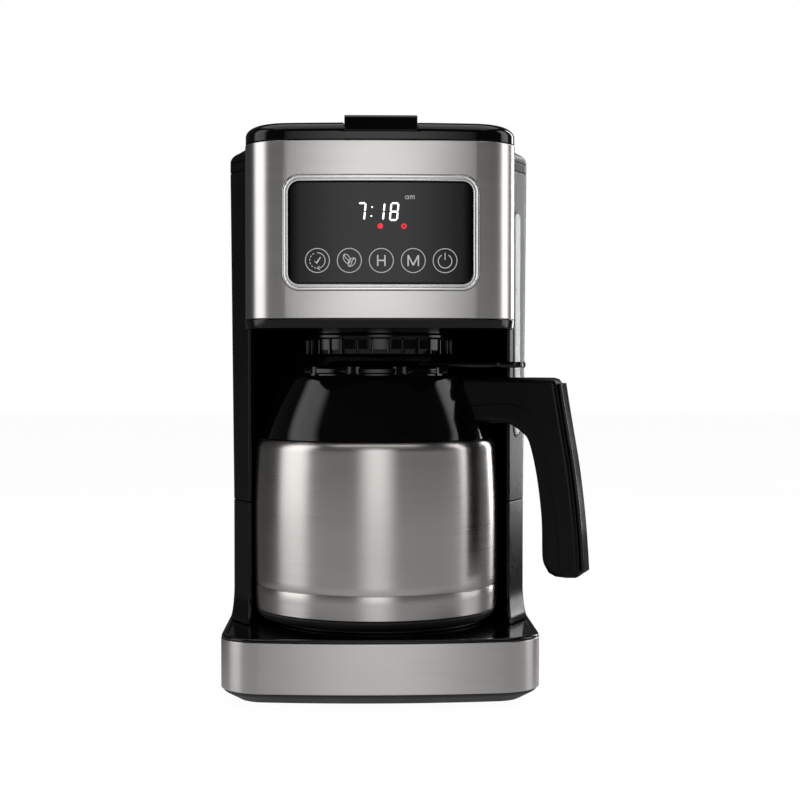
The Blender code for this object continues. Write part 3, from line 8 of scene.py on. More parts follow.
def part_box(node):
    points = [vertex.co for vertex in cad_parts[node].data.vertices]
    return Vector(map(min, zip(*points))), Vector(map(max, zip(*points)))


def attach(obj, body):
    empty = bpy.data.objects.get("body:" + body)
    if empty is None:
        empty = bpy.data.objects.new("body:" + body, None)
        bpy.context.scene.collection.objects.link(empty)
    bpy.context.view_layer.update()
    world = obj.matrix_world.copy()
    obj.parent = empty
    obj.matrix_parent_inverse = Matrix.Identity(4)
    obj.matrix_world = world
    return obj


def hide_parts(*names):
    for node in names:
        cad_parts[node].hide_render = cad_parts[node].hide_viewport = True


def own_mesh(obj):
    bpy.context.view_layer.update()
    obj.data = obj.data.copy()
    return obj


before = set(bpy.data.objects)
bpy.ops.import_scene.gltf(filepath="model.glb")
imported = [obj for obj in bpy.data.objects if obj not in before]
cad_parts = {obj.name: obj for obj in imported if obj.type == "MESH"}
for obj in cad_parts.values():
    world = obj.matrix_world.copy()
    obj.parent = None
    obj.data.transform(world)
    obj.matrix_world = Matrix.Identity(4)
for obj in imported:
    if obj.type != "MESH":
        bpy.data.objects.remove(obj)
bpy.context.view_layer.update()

MM = 0.001


def span(node):
    """A node's low and high corner, in millimetres."""
    low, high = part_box(node)
    return [v / MM for v in low], [v / MM for v in high]


# ------------------------------------------------------------ camera, floor and light

scene = bpy.context.scene
scene.view_settings.view_transform = "Standard"
camera_data = bpy.data.cameras.new("camera")
camera_data.lens = 72.9
camera_data.clip_start = 0.02
camera = bpy.data.objects.new("camera", camera_data)
camera.location = (-0.013, -1.065, 0.2007)
camera.rotation_euler = (radians(88.83), 0, radians(-1.46))
scene.collection.objects.link(camera)
scene.camera = camera

SOFTBOXES = {
    # name: (azimuth, distance, height, width, tall, core, strength); azimuth 0 faces the front and + is the
    # user's right, core is the share of the half width that is lit fully
    "front_softbox": (0, 2.0, 0.5, 1.6, 1.15, 0.1, 2.0),
    "left_softbox": (-82, 1.5, 0.7, 1.25, 2.0, 0.4, 2.1),
    "right_softbox": (96, 1.5, 0.7, 0.9, 2.0, 0.4, 2.4),
    "right_rear_strip": (137, 1.5, 0.6, 0.42, 1.7, 0.4, 6.0),
}
WHITE = "#FFFFFF"


# ------------------------------------------------------------ colours and materials


def paint(code):
    """A linear colour from an sRGB hex value."""
    parts = [int(code[i:i + 2], 16) / 255 for i in (1, 3, 5)]
    return tuple(p / 12.92 if p <= 0.04045 else ((p + 0.055) / 1.055) ** 2.4 for p in parts) + (1.0,)


def add_node(tree, kind, links=(), **settings):
    """Add one node: settings name its properties or its inputs, links give (input, source socket)."""
    made = tree.nodes.new(kind)
    for key, value in settings.items():
        if hasattr(made, key):
            setattr(made, key, value)
        else:
            made.inputs[key.replace("_", " ")].default_value = value
    for socket, source in links:
        tree.links.new(source, made.inputs[socket])
    return made


def surface(name, colour, roughness, metallic=0.0, **sockets):
    """A principled material, and its tree and shader, for a finish to add its detail to."""
    made = bpy.data.materials.new(name)
    made.use_nodes = True
    tree = made.node_tree
    shader = tree.nodes["Principled BSDF"]
    shader.inputs["Base Color"].default_value = paint(colour)
    shader.inputs["Roughness"].default_value = roughness
    shader.inputs["Metallic"].default_value = metallic
    for key, value in sockets.items():
        shader.inputs[key.replace("_", " ")].default_value = value
    made.diffuse_color = paint(colour)
    return made, tree, shader


NOISE_LOW, NOISE_HIGH = 0.3, 0.7  # nearly all of a noise lies between these


def patterns(tree, *grains):
    """Noises over object coordinates; a grain is (scale along each axis, size, detail), per metre."""
    place = add_node(tree, "ShaderNodeTexCoord").outputs["Object"]
    for scale, size, detail in grains:
        fitted = add_node(tree, "ShaderNodeMapping", [("Vector", place)], Scale=scale)
        links = [("Vector", fitted.outputs["Vector"])]
        yield add_node(tree, "ShaderNodeTexNoise", links, Scale=size, Detail=detail).outputs["Fac"]


def detailed(tree, shader, tone, colours, sheen, roughnesses, relief, height):
    """Tone runs between two colours, sheen between two roughnesses, and relief stands up by a height."""
    ramp = add_node(tree, "ShaderNodeValToRGB", [("Fac", tone)])
    for stop, place, colour in zip(ramp.color_ramp.elements, (NOISE_LOW, NOISE_HIGH), colours):
        stop.position, stop.color = place, paint(colour)
    smooth, rough = roughnesses
    spread = add_node(tree, "ShaderNodeMapRange", [("Value", sheen)], From_Min=NOISE_LOW, From_Max=NOISE_HIGH,
                      To_Min=smooth, To_Max=rough)
    bump = add_node(tree, "ShaderNodeBump", [("Height", relief)], Strength=1.0, Distance=height)
    tree.links.new(ramp.outputs["Color"], shader.inputs["Base Color"])
    tree.links.new(spread.outputs["Result"], shader.inputs["Roughness"])
    tree.links.new(bump.outputs["Normal"], shader.inputs["Normal"])


def moulded(name, dark, light, smooth, rough, grain, height, **sockets):
    """A moulded or cast skin: faint mottling of colour and sheen, and a fine grain, per metre."""
    made, tree, shader = surface(name, dark, smooth, **sockets)
    cloud, fine = patterns(tree, ((1, 1, 1), 38.0, 2.0), ((1, 1, 1), grain, 2.0))
    detailed(tree, shader, cloud, (dark, light), cloud, (smooth, rough), fine, height)
    return made


def brushed(name, dark, light, smooth, rough, anisotropy):
    """Stainless steel brushed level: its long fine scratches spread every light upwards."""
    made, tree, shader = surface(name, dark, smooth, 1.0, Anisotropic=anisotropy)
    # real brush lines are near 0.05 mm apart; these are 0.4 mm, so that they show
    lines, drift = patterns(tree, ((9, 9, 2500), 1.0, 4.0), ((22, 22, 60), 1.0, 2.0))
    both = add_node(tree, "ShaderNodeMix", [("A", lines), ("B", drift)], Factor=0.35)
    detailed(tree, shader, both.outputs["Result"], (dark, light), lines, (smooth, rough), lines, 0.000003)
    upright = add_node(tree, "ShaderNodeCombineXYZ", Z=1.0)
    tree.links.new(upright.outputs["Vector"], shader.inputs["Tangent"])
    return made


def glow(name, colour, strength):
    """An even glow over its whole shape: a lamp behind the glass, or painted light where print is made to
    glow.
    """
    made, _, _ = surface(name, colour, 0.4, Emission_Color=paint(colour), Emission_Strength=strength)
    return made


BRUSHED = {
    # name: (dark, light, smooth, rough, anisotropy)
    # 430 stainless, brushed level and lacquered: soft upright bands of light
    "brushed_stainless": ("#C4C1BF", "#D0CECC", 0.28, 0.35, 0.8),
    # 304 stainless spun round the carafe, a little finer
    "spun_stainless": ("#C0BCB9", "#CCC9C6", 0.27, 0.33, 0.8),
    # drawn stainless wire and pins, nearly bright
    "drawn_stainless": ("#B4B3B2", "#C6C5C4", 0.2, 0.3, 0.2),
}
MOULDED = {
    # name: (dark, light, smooth, rough, grain, height, other values)
    # satin chromium on ABS: pale, even, softer than a mirror
    "satin_chromium": ("#C9C9C8", "#DADAD9", 0.2, 0.27, 1400.0, 0.0000005, {"Metallic": 1.0}),
    # zinc-plated steel, faintly bluish and cloudy
    "zinc_plate": ("#9FA3A6", "#B9BCBE", 0.3, 0.42, 900.0, 0.00001, {"Metallic": 1.0}),
    # die-cast aluminium with its sandy skin
    "cast_aluminium": ("#94969A", "#A9ABAE", 0.42, 0.55, 1500.0, 0.00004, {"Metallic": 1.0}),
    # high-gloss black ABS from a polished mould
    "polished_abs": ("#040405", "#060607", 0.07, 0.11, 260.0, 0.000006,
                     {"IOR": 1.5, "Specular_IOR_Level": 0.32}),
    # black polypropylene from a finely sparked mould
    "sparked_polypropylene": ("#060607", "#09090A", 0.24, 0.3, 2600.0, 0.000006,
                              {"IOR": 1.49, "Specular_IOR_Level": 0.18}),
    # glass-filled black nylon, coarse and dull
    "filled_nylon": ("#111112", "#18181A", 0.5, 0.64, 1800.0, 0.00003, {"IOR": 1.53}),
    # black PET cloth moulded in the filter's frame
    "filter_nylon": ("#1A1A1B", "#242425", 0.45, 0.6, 1400.0, 0.00004, {"IOR": 1.53}),
    # float glass printed black on its back
    "printed_glass": ("#060607", "#08080A", 0.03, 0.05, 60.0, 0.000002,
                      {"IOR": 1.52, "Specular_IOR_Level": 0.27}),
    # natural SAN: clear, a little grey at its edges
    "clear_san": ("#C9D0D2", "#DDE2E3", 0.05, 0.09, 300.0, 0.000006,
                  {"IOR": 1.57, "Transmission_Weight": 0.9}),
    # SAN frosted on its back, which glows pale with light from the tank
    "frosted_san": ("#E0E2E2", "#EEF0F0", 0.2, 0.3, 500.0, 0.000004,
                    {"IOR": 1.57, "Subsurface_Weight": 0.15}),
    # nitrile rubber, dull with a bloom
    "nitrile_rubber": ("#161617", "#202021", 0.7, 0.85, 900.0, 0.00004, {}),
    # translucent milky silicone
    "milky_silicone": ("#B9B7AF", "#CCCAC2", 0.42, 0.55, 500.0, 0.00002, {"Subsurface_Weight": 0.2}),
    # green solder mask on glass-fibre board
    "solder_mask": ("#0B3B20", "#135030", 0.25, 0.38, 1200.0, 0.00001, {}),
    # white pad print
    "white_print": ("#E4E4E2", "#F2F2F0", 0.45, 0.55, 2000.0, 0.000002, {}),
}
GLOWS = {
    # name: (colour, strength)
    # white and red light-emitting diodes behind their diffusers
    "lit_white": ("#FFFFFF", 1.3),
    "lit_red": ("#E0202E", 0.9),
    "dim_red": ("#8A1420", 0.35),
    # grey signs printed on the glass, made to glow evenly: painted light standing in for the lamps' light on
    # the print
    "grey_print_painted_glow": ("#A9A9A9", 0.75),
}
LOOKS = {name: brushed(name, *values) for name, values in BRUSHED.items()}
LOOKS.update({name: moulded(name, *values, **others) for name, (*values, others) in MOULDED.items()})
LOOKS.update({name: glow(name, *values) for name, values in GLOWS.items()})


# ------------------------------------------------------------ floor, light and surroundings


def flat_sheet(name, corners):
    """A four-cornered sheet, linked into the scene."""
    mesh = bpy.data.meshes.new(name)
    mesh.from_pydata(corners, [], [(0, 1, 2, 3)])
    made = bpy.data.objects.new(name, mesh)
    scene.collection.objects.link(made)
    return made


def softbox(name, azimuth, distance, height, width, tall, core, strength):
    """A cloth-fronted lamp, brightest in its middle and fading to its edges, which the camera can't see."""
    half, rise, turn = width / 2, tall / 2, radians(azimuth)
    lamp = flat_sheet(name, [(-half, 0, -rise), (half, 0, -rise), (half, 0, rise), (-half, 0, rise)])
    lamp.location = (distance * sin(turn), -distance * cos(turn), height)
    lamp.rotation_euler = (0, 0, turn)
    lamp.visible_camera = False
    made, tree, _ = surface(name + "_cloth", WHITE, 1.0)
    place = add_node(tree, "ShaderNodeTexCoord")
    parts = add_node(tree, "ShaderNodeSeparateXYZ", [("Vector", place.outputs["Object"])])
    fades = []
    for axis, reach, edge in (("X", half, core), ("Z", rise, 0.7)):
        size = add_node(tree, "ShaderNodeMath", [(0, parts.outputs[axis])], operation="ABSOLUTE")
        fades.append(add_node(tree, "ShaderNodeMapRange", [("Value", size.outputs[0])],
                              interpolation_type="SMOOTHSTEP", From_Min=reach * edge, From_Max=reach,
                              To_Min=1.0, To_Max=0.0))
    both = add_node(tree, "ShaderNodeMath", [(0, fades[0].outputs[0]), (1, fades[1].outputs[0])],
                    operation="MULTIPLY")
    power = add_node(tree, "ShaderNodeMath", [(0, both.outputs[0])], operation="MULTIPLY")
    power.inputs[1].default_value = strength
    lit = add_node(tree, "ShaderNodeEmission", [("Strength", power.outputs[0])])
    tree.links.new(lit.outputs["Emission"], tree.nodes["Material Output"].inputs["Surface"])
    lamp.data.materials.append(made)


def studio():
    for name, values in SOFTBOXES.items():
        softbox(name, *values)
    light = bpy.data.lights.new("overhead_softbox", "AREA")
    light.shape, light.size, light.energy = "SQUARE", 2.6, 26.0
    overhead = bpy.data.objects.new("overhead_softbox", light)
    overhead.location = (0, 0, 2.2)
    scene.collection.objects.link(overhead)


def stage_floor():
    """A pale floor that ends far behind; for the object's own reflections it is much darker."""
    reach = 6.0
    corners = [(-reach, -reach, 0), (reach, -reach, 0), (reach, reach, 0), (-reach, reach, 0)]
    floor = flat_sheet("studio_floor", corners)
    made, tree, shader = surface("white_board", "#2A2A2A", 0.8)
    route = add_node(tree, "ShaderNodeLightPath")
    # the object is lit from the board in front of it, and little from the board behind it
    place = add_node(tree, "ShaderNodeTexCoord")
    depth = add_node(tree, "ShaderNodeSeparateXYZ", [("Vector", place.outputs["Object"])])
    fade = add_node(tree, "ShaderNodeMapRange", [("Value", depth.outputs["Y"])],
                    From_Min=-0.15, From_Max=0.15, To_Min=0.5, To_Max=0.08)
    dim = add_node(tree, "ShaderNodeEmission", [("Strength", fade.outputs["Result"])], Color=paint(WHITE))
    lift = add_node(tree, "ShaderNodeEmission", Color=paint(WHITE), Strength=0.97)
    bright = add_node(tree, "ShaderNodeAddShader",
                      [(0, shader.outputs["BSDF"]), (1, lift.outputs["Emission"])])
    both = add_node(tree, "ShaderNodeMixShader",
                    [(0, route.outputs["Is Camera Ray"]), (1, dim.outputs["Emission"]),
                     (2, bright.outputs["Shader"])])
    tree.links.new(both.outputs["Shader"], tree.nodes["Material Output"].inputs["Surface"])
    floor.data.materials.append(made)


def surroundings():
    """A white room for the camera, and a dim one for everything that reflects it."""
    world = bpy.data.worlds.new("studio")
    world.use_nodes = True
    scene.world = world
    tree = world.node_tree
    seen = tree.nodes["Background"]
    seen.inputs["Color"].default_value = paint(WHITE)
    dim = add_node(tree, "ShaderNodeBackground", Color=paint(WHITE), Strength=0.045)
    route = add_node(tree, "ShaderNodeLightPath")
    both = add_node(tree, "ShaderNodeMixShader",
                    [(0, route.outputs["Is Camera Ray"]), (1, dim.outputs["Background"]),
                     (2, seen.outputs["Background"])])
    tree.links.new(both.outputs["Shader"], tree.nodes["World Output"].inputs["Surface"])


stage_floor()
surroundings()
studio()


# ------------------------------------------------------------ making pieces


def raw(name, bm):
    """An object in metres from a bmesh in millimetres."""
    bmesh.ops.remove_doubles(bm, verts=bm.verts, dist=1e-4)
    bmesh.ops.recalc_face_normals(bm, faces=bm.faces)
    bmesh.ops.scale(bm, vec=(MM, MM, MM), verts=bm.verts)
    mesh = bpy.data.meshes.new(name)
    bm.to_mesh(mesh)
    bm.free()
    made = bpy.data.objects.new(name, mesh)
    scene.collection.objects.link(made)
    return made


def applied(piece):
    """Turn a piece's modifiers into its mesh."""
    graph = bpy.context.evaluated_depsgraph_get()
    mesh = bpy.data.meshes.new_from_object(piece.evaluated_get(graph))
    piece.modifiers.clear()
    piece.data = mesh
    return piece


def combined(piece, operation, *others):
    for other in others:
        step = piece.modifiers.new(operation, "BOOLEAN")
        step.operation, step.solver, step.object = operation, "EXACT", other
    applied(piece)
    for other in others:
        bpy.data.objects.remove(other, do_unlink=True)
    return piece


def carved(piece, *cutters):
    return combined(piece, "DIFFERENCE", *cutters)


def joined(piece, *others):
    return combined(piece, "UNION", *others)


def eased(piece, width, segments=3, angle=28.0):
    """Round a piece's sharp edges by a width in millimetres."""
    step = piece.modifiers.new("ease", "BEVEL")
    step.width, step.segments, step.limit_method = width * MM, segments, "ANGLE"
    step.angle_limit = radians(angle)
    step.use_clamp_overlap = True
    return applied(piece)


def worn(piece, look, body, nodes=(), smooth=40.0, weighted=True):
    """Give a piece its finish, its body, and the nodes that it stands for."""
    mesh = piece.data
    mesh.shade_smooth()
    mesh.set_sharp_from_angle(angle=radians(smooth))
    if weighted:
        step = piece.modifiers.new("normals", "WEIGHTED_NORMAL")
        step.keep_sharp = True
        applied(piece)
    piece.data.materials.clear()
    piece.data.materials.append(LOOKS[look])
    piece.data.name = piece.name
    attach(piece, body)
    if nodes:
        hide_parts(*nodes)
    return piece


def arc(cx, cy, radius, start, end, steps):
    """Points on a circular arc, angles in degrees."""
    turns = [radians(start + (end - start) * i / steps) for i in range(steps + 1)]
    return [(cx + radius * cos(t), cy + radius * sin(t)) for t in turns]


def bent(start, control, end, steps):
    """Points on a quadratic curve after its start, up to its end."""
    made = []
    for i in range(1, steps + 1):
        t = i / steps
        weights = ((1 - t) ** 2, 2 * t * (1 - t), t * t)
        made.append(tuple(sum(w * p[k] for w, p in zip(weights, (start, control, end))) for k in (0, 1)))
    return made


def through(points, steps):
    """Points on a smooth curve through the given points."""
    spots = [Vector(p) for p in points]
    spots = [2 * spots[0] - spots[1]] + spots + [2 * spots[-1] - spots[-2]]
    made = []
    for a, b, c, d in zip(spots, spots[1:], spots[2:], spots[3:]):
        for i in range(steps):
            t = i / steps
            bend, twist = 2 * a - 5 * b + 4 * c - d, 3 * b - a - 3 * c + d
            made.append(0.5 * (2 * b + (c - a) * t + bend * t**2 + twist * t**3))
    return made + [spots[-2]]


def mirrored(points):
    return points + [(-x, y) for x, y in reversed(points) if abs(x) > 1e-6]


def skin(bm, rows, round_rows=True, round_points=True, caps=False):
    """Faces between rows of vertices with as many points each."""
    count = len(rows[0])
    pairs = list(zip(rows, rows[1:])) + ([(rows[-1], rows[0])] if round_rows else [])
    for low, high in pairs:
        for i in range(count if round_points else count - 1):
            j = (i + 1) % count
            bm.faces.new((low[i], low[j], high[j], high[i]))
    if caps and round_points:
        bm.faces.new(rows[0])
        bm.faces.new(rows[-1])
    if caps and not round_points:
        bm.faces.new([row[0] for row in rows])
        bm.faces.new([row[-1] for row in rows])


def loft(name, sections, hollow=False):
    """A solid through closed outlines (outline, height); a hollow one joins its last to its first."""
    bm = bmesh.new()
    rows = [[bm.verts.new((x, y, z)) for x, y in outline] for outline, z in sections]
    skin(bm, rows, round_rows=hollow, caps=not hollow)
    return raw(name, bm)


def band(name, run, profile):
    """A bent strip: run(grow) gives its open plan at a distance out, profile its (grow, height) edge."""
    bm = bmesh.new()
    rows = [[bm.verts.new((x, y, z)) for x, y in run(grow)] for grow, z in profile]
    skin(bm, rows, round_points=False, caps=True)
    return raw(name, bm)


def turned(name, profile, x, y, sides=96, shape=None):
    """A profile of (radius, height) turned about an upright axis; shape may move each point."""
    solid = profile[0][0] < 1e-6
    runs = profile[1:-1] if solid else profile
    bm = bmesh.new()
    rows = []
    for radius, height in runs:
        row = []
        for i in range(sides):
            turn = 2 * pi * i / sides
            r, z = shape(radius, height, turn) if shape else (radius, height)
            row.append(bm.verts.new((x + r * cos(turn), y + r * sin(turn), z)))
        rows.append(row)
    skin(bm, rows, round_rows=not solid)
    if solid:
        for row, height in ((rows[0], profile[0][1]), (rows[-1], profile[-1][1])):
            centre = bm.verts.new((x, y, height))
            for i in range(sides):
                bm.faces.new((row[i], row[(i + 1) % sides], centre))
    return raw(name, bm)


def rounded(profile, radius, steps=3):
    """A profile with its corners rounded by up to a radius; its first and last points stay."""
    made = [profile[0]]
    for before, here, after in zip(profile, profile[1:], profile[2:]):
        a, b, c = Vector(before), Vector(here), Vector(after)
        reach = min(radius, (a - b).length * 0.45, (c - b).length * 0.45)
        start, end = b + (a - b).normalized() * reach, b + (c - b).normalized() * reach
        made.append(tuple(start))
        made += bent(tuple(start), here, tuple(end), steps)
    return made + [profile[-1]]


def rod(name, radius, start, end, sides=24):
    """A round bar between two points."""
    run = Vector(end) - Vector(start)
    made = turned(name, [(0, 0), (radius, 0), (radius, run.length), (0, run.length)], 0, 0, sides)
    lean = Vector((0, 0, 1)).rotation_difference(run).to_matrix().to_4x4()
    made.data.transform(Matrix.Translation(Vector(start) * MM) @ lean)
    return made


def block(name, low, high):
    outline = [(low[0], low[1]), (high[0], low[1]), (high[0], high[1]), (low[0], high[1])]
    return loft(name, [(outline, low[2]), (outline, high[2])])


def rounded_rect(width, height, corner, steps=12):
    right, top = width / 2 - corner, height / 2 - corner
    made = arc(right, top, corner, 0, 90, steps) + arc(-right, top, corner, 90, 180, steps)
    return made + arc(-right, -top, corner, 180, 270, steps) + arc(right, -top, corner, 270, 360, steps)


def tube(name, points, radius, sides):
    """A closed round bar along points."""
    bm = bmesh.new()
    spots = [Vector(p) for p in points]
    rows = []
    for i, spot in enumerate(spots):
        run = (spots[min(i + 1, len(spots) - 1)] - spots[max(i - 1, 0)]).normalized()
        side = run.cross(Vector((0, 1, 0)) if abs(run.y) < 0.9 else Vector((0, 0, 1))).normalized()
        up = side.cross(run)
        turns = [2 * pi * k / sides for k in range(sides)]
        rows.append([bm.verts.new(spot + (side * cos(t) + up * sin(t)) * radius) for t in turns])
    skin(bm, rows, round_rows=False, caps=True)
    return raw(name, bm)


# ------------------------------------------------------------ plans of the machine

BOW = 525.0
(BAND_LOW, BAND_HIGH) = span("base_band")
(DECK_LOW, DECK_HIGH) = span("base_deck")
(PANEL_LOW, PANEL_HIGH) = span("head_panel")
(LIP_LOW, LIP_HIGH) = span("head_lip")
(LID_LOW, LID_HIGH) = span("top_lid")
(UPPER_LOW, UPPER_HIGH) = span("tower_upper")
(LOWER_LOW, LOWER_HIGH) = span("tower_lower")
BASE_HALF, BASE_FRONT, BASE_BACK = BAND_HIGH[0], BAND_LOW[1], DECK_HIGH[1] + 1.2
PANEL_HALF, PANEL_FRONT, PANEL_END = PANEL_HIGH[0], PANEL_LOW[1], PANEL_HIGH[1]
LID_HALF = LID_HIGH[0]
TOWER_FRONT = UPPER_LOW[1]
BAY_HALF, BAY_BACK, BAY_CORNER = 80.2, 50.0, 50.0
SHEET = 0.9


def right_run(half, front, corner, bow):
    """The right half of a bowed front and its round corner, from the middle out."""
    lean = asin((half - corner) / (bow - corner))
    centre_x = (bow - corner) * sin(lean)
    centre_y = front + bow - (bow - corner) * cos(lean)
    run = arc(0, front + bow, bow, -90, -90 + degrees(lean), 18)
    return run + arc(centre_x, centre_y, corner, -90 + degrees(lean), 0, 20)[1:]


def bowed(half, front, back, corner, rear_corner, bow=BOW, rear_steps=10):
    run = right_run(half, front, corner, bow)
    return mirrored(run + arc(half - rear_corner, back - rear_corner, rear_corner, 0, 90, rear_steps))


def base_plan(inset):
    return bowed(BASE_HALF - inset, BASE_FRONT + inset, BASE_BACK - inset, 28 - inset, 22 - min(inset, 20),
                 BOW - inset)


def open_run(half, front, corner, bow, end):
    """An open plan from the left end round the front to the right end."""
    right = right_run(half, front, corner, bow) + [(half, end)]
    return [(-x, y) for x, y in reversed(right[1:])] + right


def panel_run(grow):
    """grow is measured out of the steel's outer face."""
    return open_run(PANEL_HALF + grow, PANEL_FRONT - grow, 28.2 + grow, BOW + 1.2 + grow, PANEL_END)


def base_run(grow):
    return open_run(BASE_HALF + grow, BASE_FRONT - grow, 28 + grow, BOW + grow, BAND_HIGH[1])


def sheet_profile(low, high, ease=0.4, steps=4):
    """A sheet's (grow, height) edge, with its outer lips rolled in a little."""
    turns = [pi / 2 * i / steps for i in range(steps + 1)]
    outer = [(ease * (1 - sin(t)), low + ease * (1 - cos(t))) for t in turns]
    outer += [(ease * (1 - cos(t)), high - ease * (1 - sin(t))) for t in turns]
    return [(-inset, z) for inset, z in outer + [(SHEET, high), (SHEET, low)]]


# ------------------------------------------------------------ base


def base():
    low, high = BAND_LOW[2], BAND_HIGH[2]
    steel = band("base_band_steel", base_run, sheet_profile(low, high))
    worn(steel, "brushed_stainless", "machine", ["base_band"])
    top, skirt = DECK_HIGH[2], 1.2
    lip = high + 0.3
    edge = [(skirt, low + 1), (skirt, lip), (0.5, lip + 0.05), (0.3, lip + 0.5), (0.35, top - 1.2)]
    edge += [(0.3 + 1.6 * (1 - cos(radians(t))), top - 1.3 + 1.3 * sin(radians(t))) for t in (25, 45, 65, 90)]
    edge += [(3.2, top), (4.0, top - 0.35), (4.8, top - 0.35)]
    inner = [(3.8, top - 3), (3.8, low + 1)]
    bm = bmesh.new()
    rows = [[bm.verts.new((x, y, z)) for x, y in base_plan(inset)] for inset, z in edge]
    under = [[bm.verts.new((x, y, z)) for x, y in base_plan(inset)] for inset, z in inner]
    skin(bm, [under[1]] + rows, round_rows=False)
    skin(bm, under, round_rows=False)
    bm.faces.new(rows[-1])
    bm.faces.new(under[0])
    deck = raw("deck_top", bm)
    worn(deck, "polished_abs", "machine", ["base_deck"])
    edge = [(12.4, 2.0), (11.6, 2.15), (2.6, 7.0), (1.9, 7.6), (1.0, 8.7), (1.1, 9.0)]
    edge += [(4.8, 9.0), (14.2, 4.4)]
    pan = loft("pan_shell", [(base_plan(inset), z) for inset, z in edge])
    for side_x in (-1, 1):
        for side_y in (-1, 1):
            x, y = 61.6 * side_x, 91.0 * side_y
            profile = [(0, 1), (9.3, 1), (9.3, 2.6), (0, 2.6)]
            carved(pan, turned("foot_seat", profile, x, y, 32))
    worn(pan, "filled_nylon", "machine", ["base_pan"])
    rest_low, rest_high = span("carafe_rest")
    x, y = (rest_low[0] + rest_high[0]) / 2, (rest_low[1] + rest_high[1]) / 2
    radius, low, high = (rest_high[0] - rest_low[0]) / 2, rest_low[2], rest_high[2]
    profile = [(0, low), (radius, low), (radius, high - 0.6), (radius - 0.6, high), (radius - 4, high),
               (radius - 4.4, high - 0.4)]
    for ring in range(6):
        edge_r = radius - 9 - ring * 8
        profile += [(edge_r + 0.5, high - 0.4), (edge_r, high), (edge_r - 1.2, high),
                    (edge_r - 1.7, high - 0.4)]
    profile += [(0, high - 0.4)]
    worn(turned("rest_disc", profile, x, y), "filled_nylon", "machine", ["carafe_rest"])


# ------------------------------------------------------------ tower

LOWER_TOP_HALF = UPPER_HIGH[0] - 2.0
FLARE_HEIGHT, FLARE_REACH = 18.0, 20.0
SLANT_START, SLANT_DEPTH = BAY_HALF + 2.0, 25.0


def tower_plan(half, wall=0.0, front=TOWER_FRONT, bay_half=BAY_HALF, bay_back=BAY_BACK,
               bay_corner=BAY_CORNER):
    """The tower's C-shaped plan; wall moves every side into the material."""
    edge_x, edge_y, side_x, side_y = SLANT_START, front, half, front + SLANT_DEPTH
    slope = atan2(side_y - edge_y, side_x - edge_x)
    run_x, run_y = cos(slope), sin(slope)
    base_x, base_y = edge_x - run_y * wall, edge_y + run_x * wall
    inner, outer = bay_half + wall, half - wall
    front_y = edge_y + wall
    start = (base_x + (front_y - base_y) * run_x / run_y, front_y)
    corner = (outer, base_y + (outer - base_x) * run_y / run_x)
    if start[0] < inner + 0.2:
        start = (inner + 0.2, base_y + (inner + 0.2 - base_x) * run_y / run_x)
        front_y = start[1]
    near = (corner[0] - 4 * run_x, corner[1] - 4 * run_y)
    rear = 22 - min(wall, 20)
    turn = bay_corner + wall
    nose = max(0.05, min(0.9, (start[0] - inner) * 0.5))
    right = [(0.0, bay_back + wall)]
    right += arc(inner - turn, bay_back + wall - turn, turn, 90, 0, 18)
    right.append((inner, front_y + nose))
    right += bent(right[-1], (inner, front_y), (inner + nose, front_y), 4)
    tip = (start[0] + run_x * nose, start[1] + run_y * nose)
    right += bent((start[0] - min(nose, start[0] - inner - nose * 0.99), start[1]), start, tip, 4)
    right += [near] + bent(near, corner, (outer, corner[1] + 6), 8)
    right += arc(outer - rear, BASE_BACK - wall - rear, rear, 0, 90, 12)
    right += [(0.0, BASE_BACK - wall)]
    return right + [(-x, y) for x, y in reversed(right) if x > 1e-6]


def tower_half(height):
    """The tower narrows a little downwards."""
    low, high = UPPER_LOW[2], UPPER_HIGH[2] + 0.3
    share = max(0.0, min(1.0, (height - low) / (high - low)))
    return LOWER_TOP_HALF + (UPPER_HIGH[0] - LOWER_TOP_HALF) * share


def tower_shells():
    top, low = LOWER_HIGH[2], LOWER_LOW[2]
    steps = 14
    sections = []
    for i in range(steps + 1):
        rise = i / steps
        reach = FLARE_REACH * (1 - sqrt(1 - (1 - rise) ** 2))
        half = LOWER_TOP_HALF + (BASE_HALF - 1.2 - LOWER_TOP_HALF) * (1 - rise) ** 2
        sections.append((tower_plan(half, front=TOWER_FRONT - reach), low + FLARE_HEIGHT * rise))
    for inset, height in ((0.0, top - 0.6), (0.18, top - 0.18), (0.6, top), (1.6, top)):
        sections.append((tower_plan(LOWER_TOP_HALF, inset), height))
    sections += [(tower_plan(LOWER_TOP_HALF, 2.2), top - 0.6), (tower_plan(LOWER_TOP_HALF, 2.2), low)]
    shell = loft("tower_foot_shell", sections, True)
    worn(shell, "sparked_polypropylene", "machine", ["tower_lower"])
    low, high = UPPER_LOW[2], UPPER_HIGH[2]
    edge = [(1.6, low), (0.6, low), (0.18, low + 0.18), (0.0, low + 0.6), (0.0, high - 0.6),
            (0.18, high - 0.18), (0.6, high), (1.6, high), (2.2, high - 0.6), (2.2, low + 0.6)]
    housing = loft("tower_back_shell", [(tower_plan(tower_half(z), inset), z) for inset, z in edge], True)
    worn(housing, "sparked_polypropylene", "machine", ["tower_upper"])
    low, high = span("tank_rim")[0][2], span("tank_rim")[1][2]
    half = UPPER_HIGH[0]
    edge = [(0.6, low), (0.18, low + 0.18), (0.0, low + 0.6), (0.0, high - 0.6), (0.18, high - 0.18),
            (0.6, high)]
    rim = loft("tank_mouth_rim", [(tower_plan(half, inset), z) for inset, z in edge])
    mouth = block("mouth", (-54, 58, low - 1), (54, 99, high + 1))
    carved(rim, mouth, rod("riser_way", 4.8, (-68, 72, low - 1), (-68, 72, high + 1), 32))
    worn(rim, "sparked_polypropylene", "machine", ["tank_rim"])


HINGE_Y, HINGE_Z = 104.0, 339.5
CAP_TOP = 338.0
PIN_BORE = 1.8


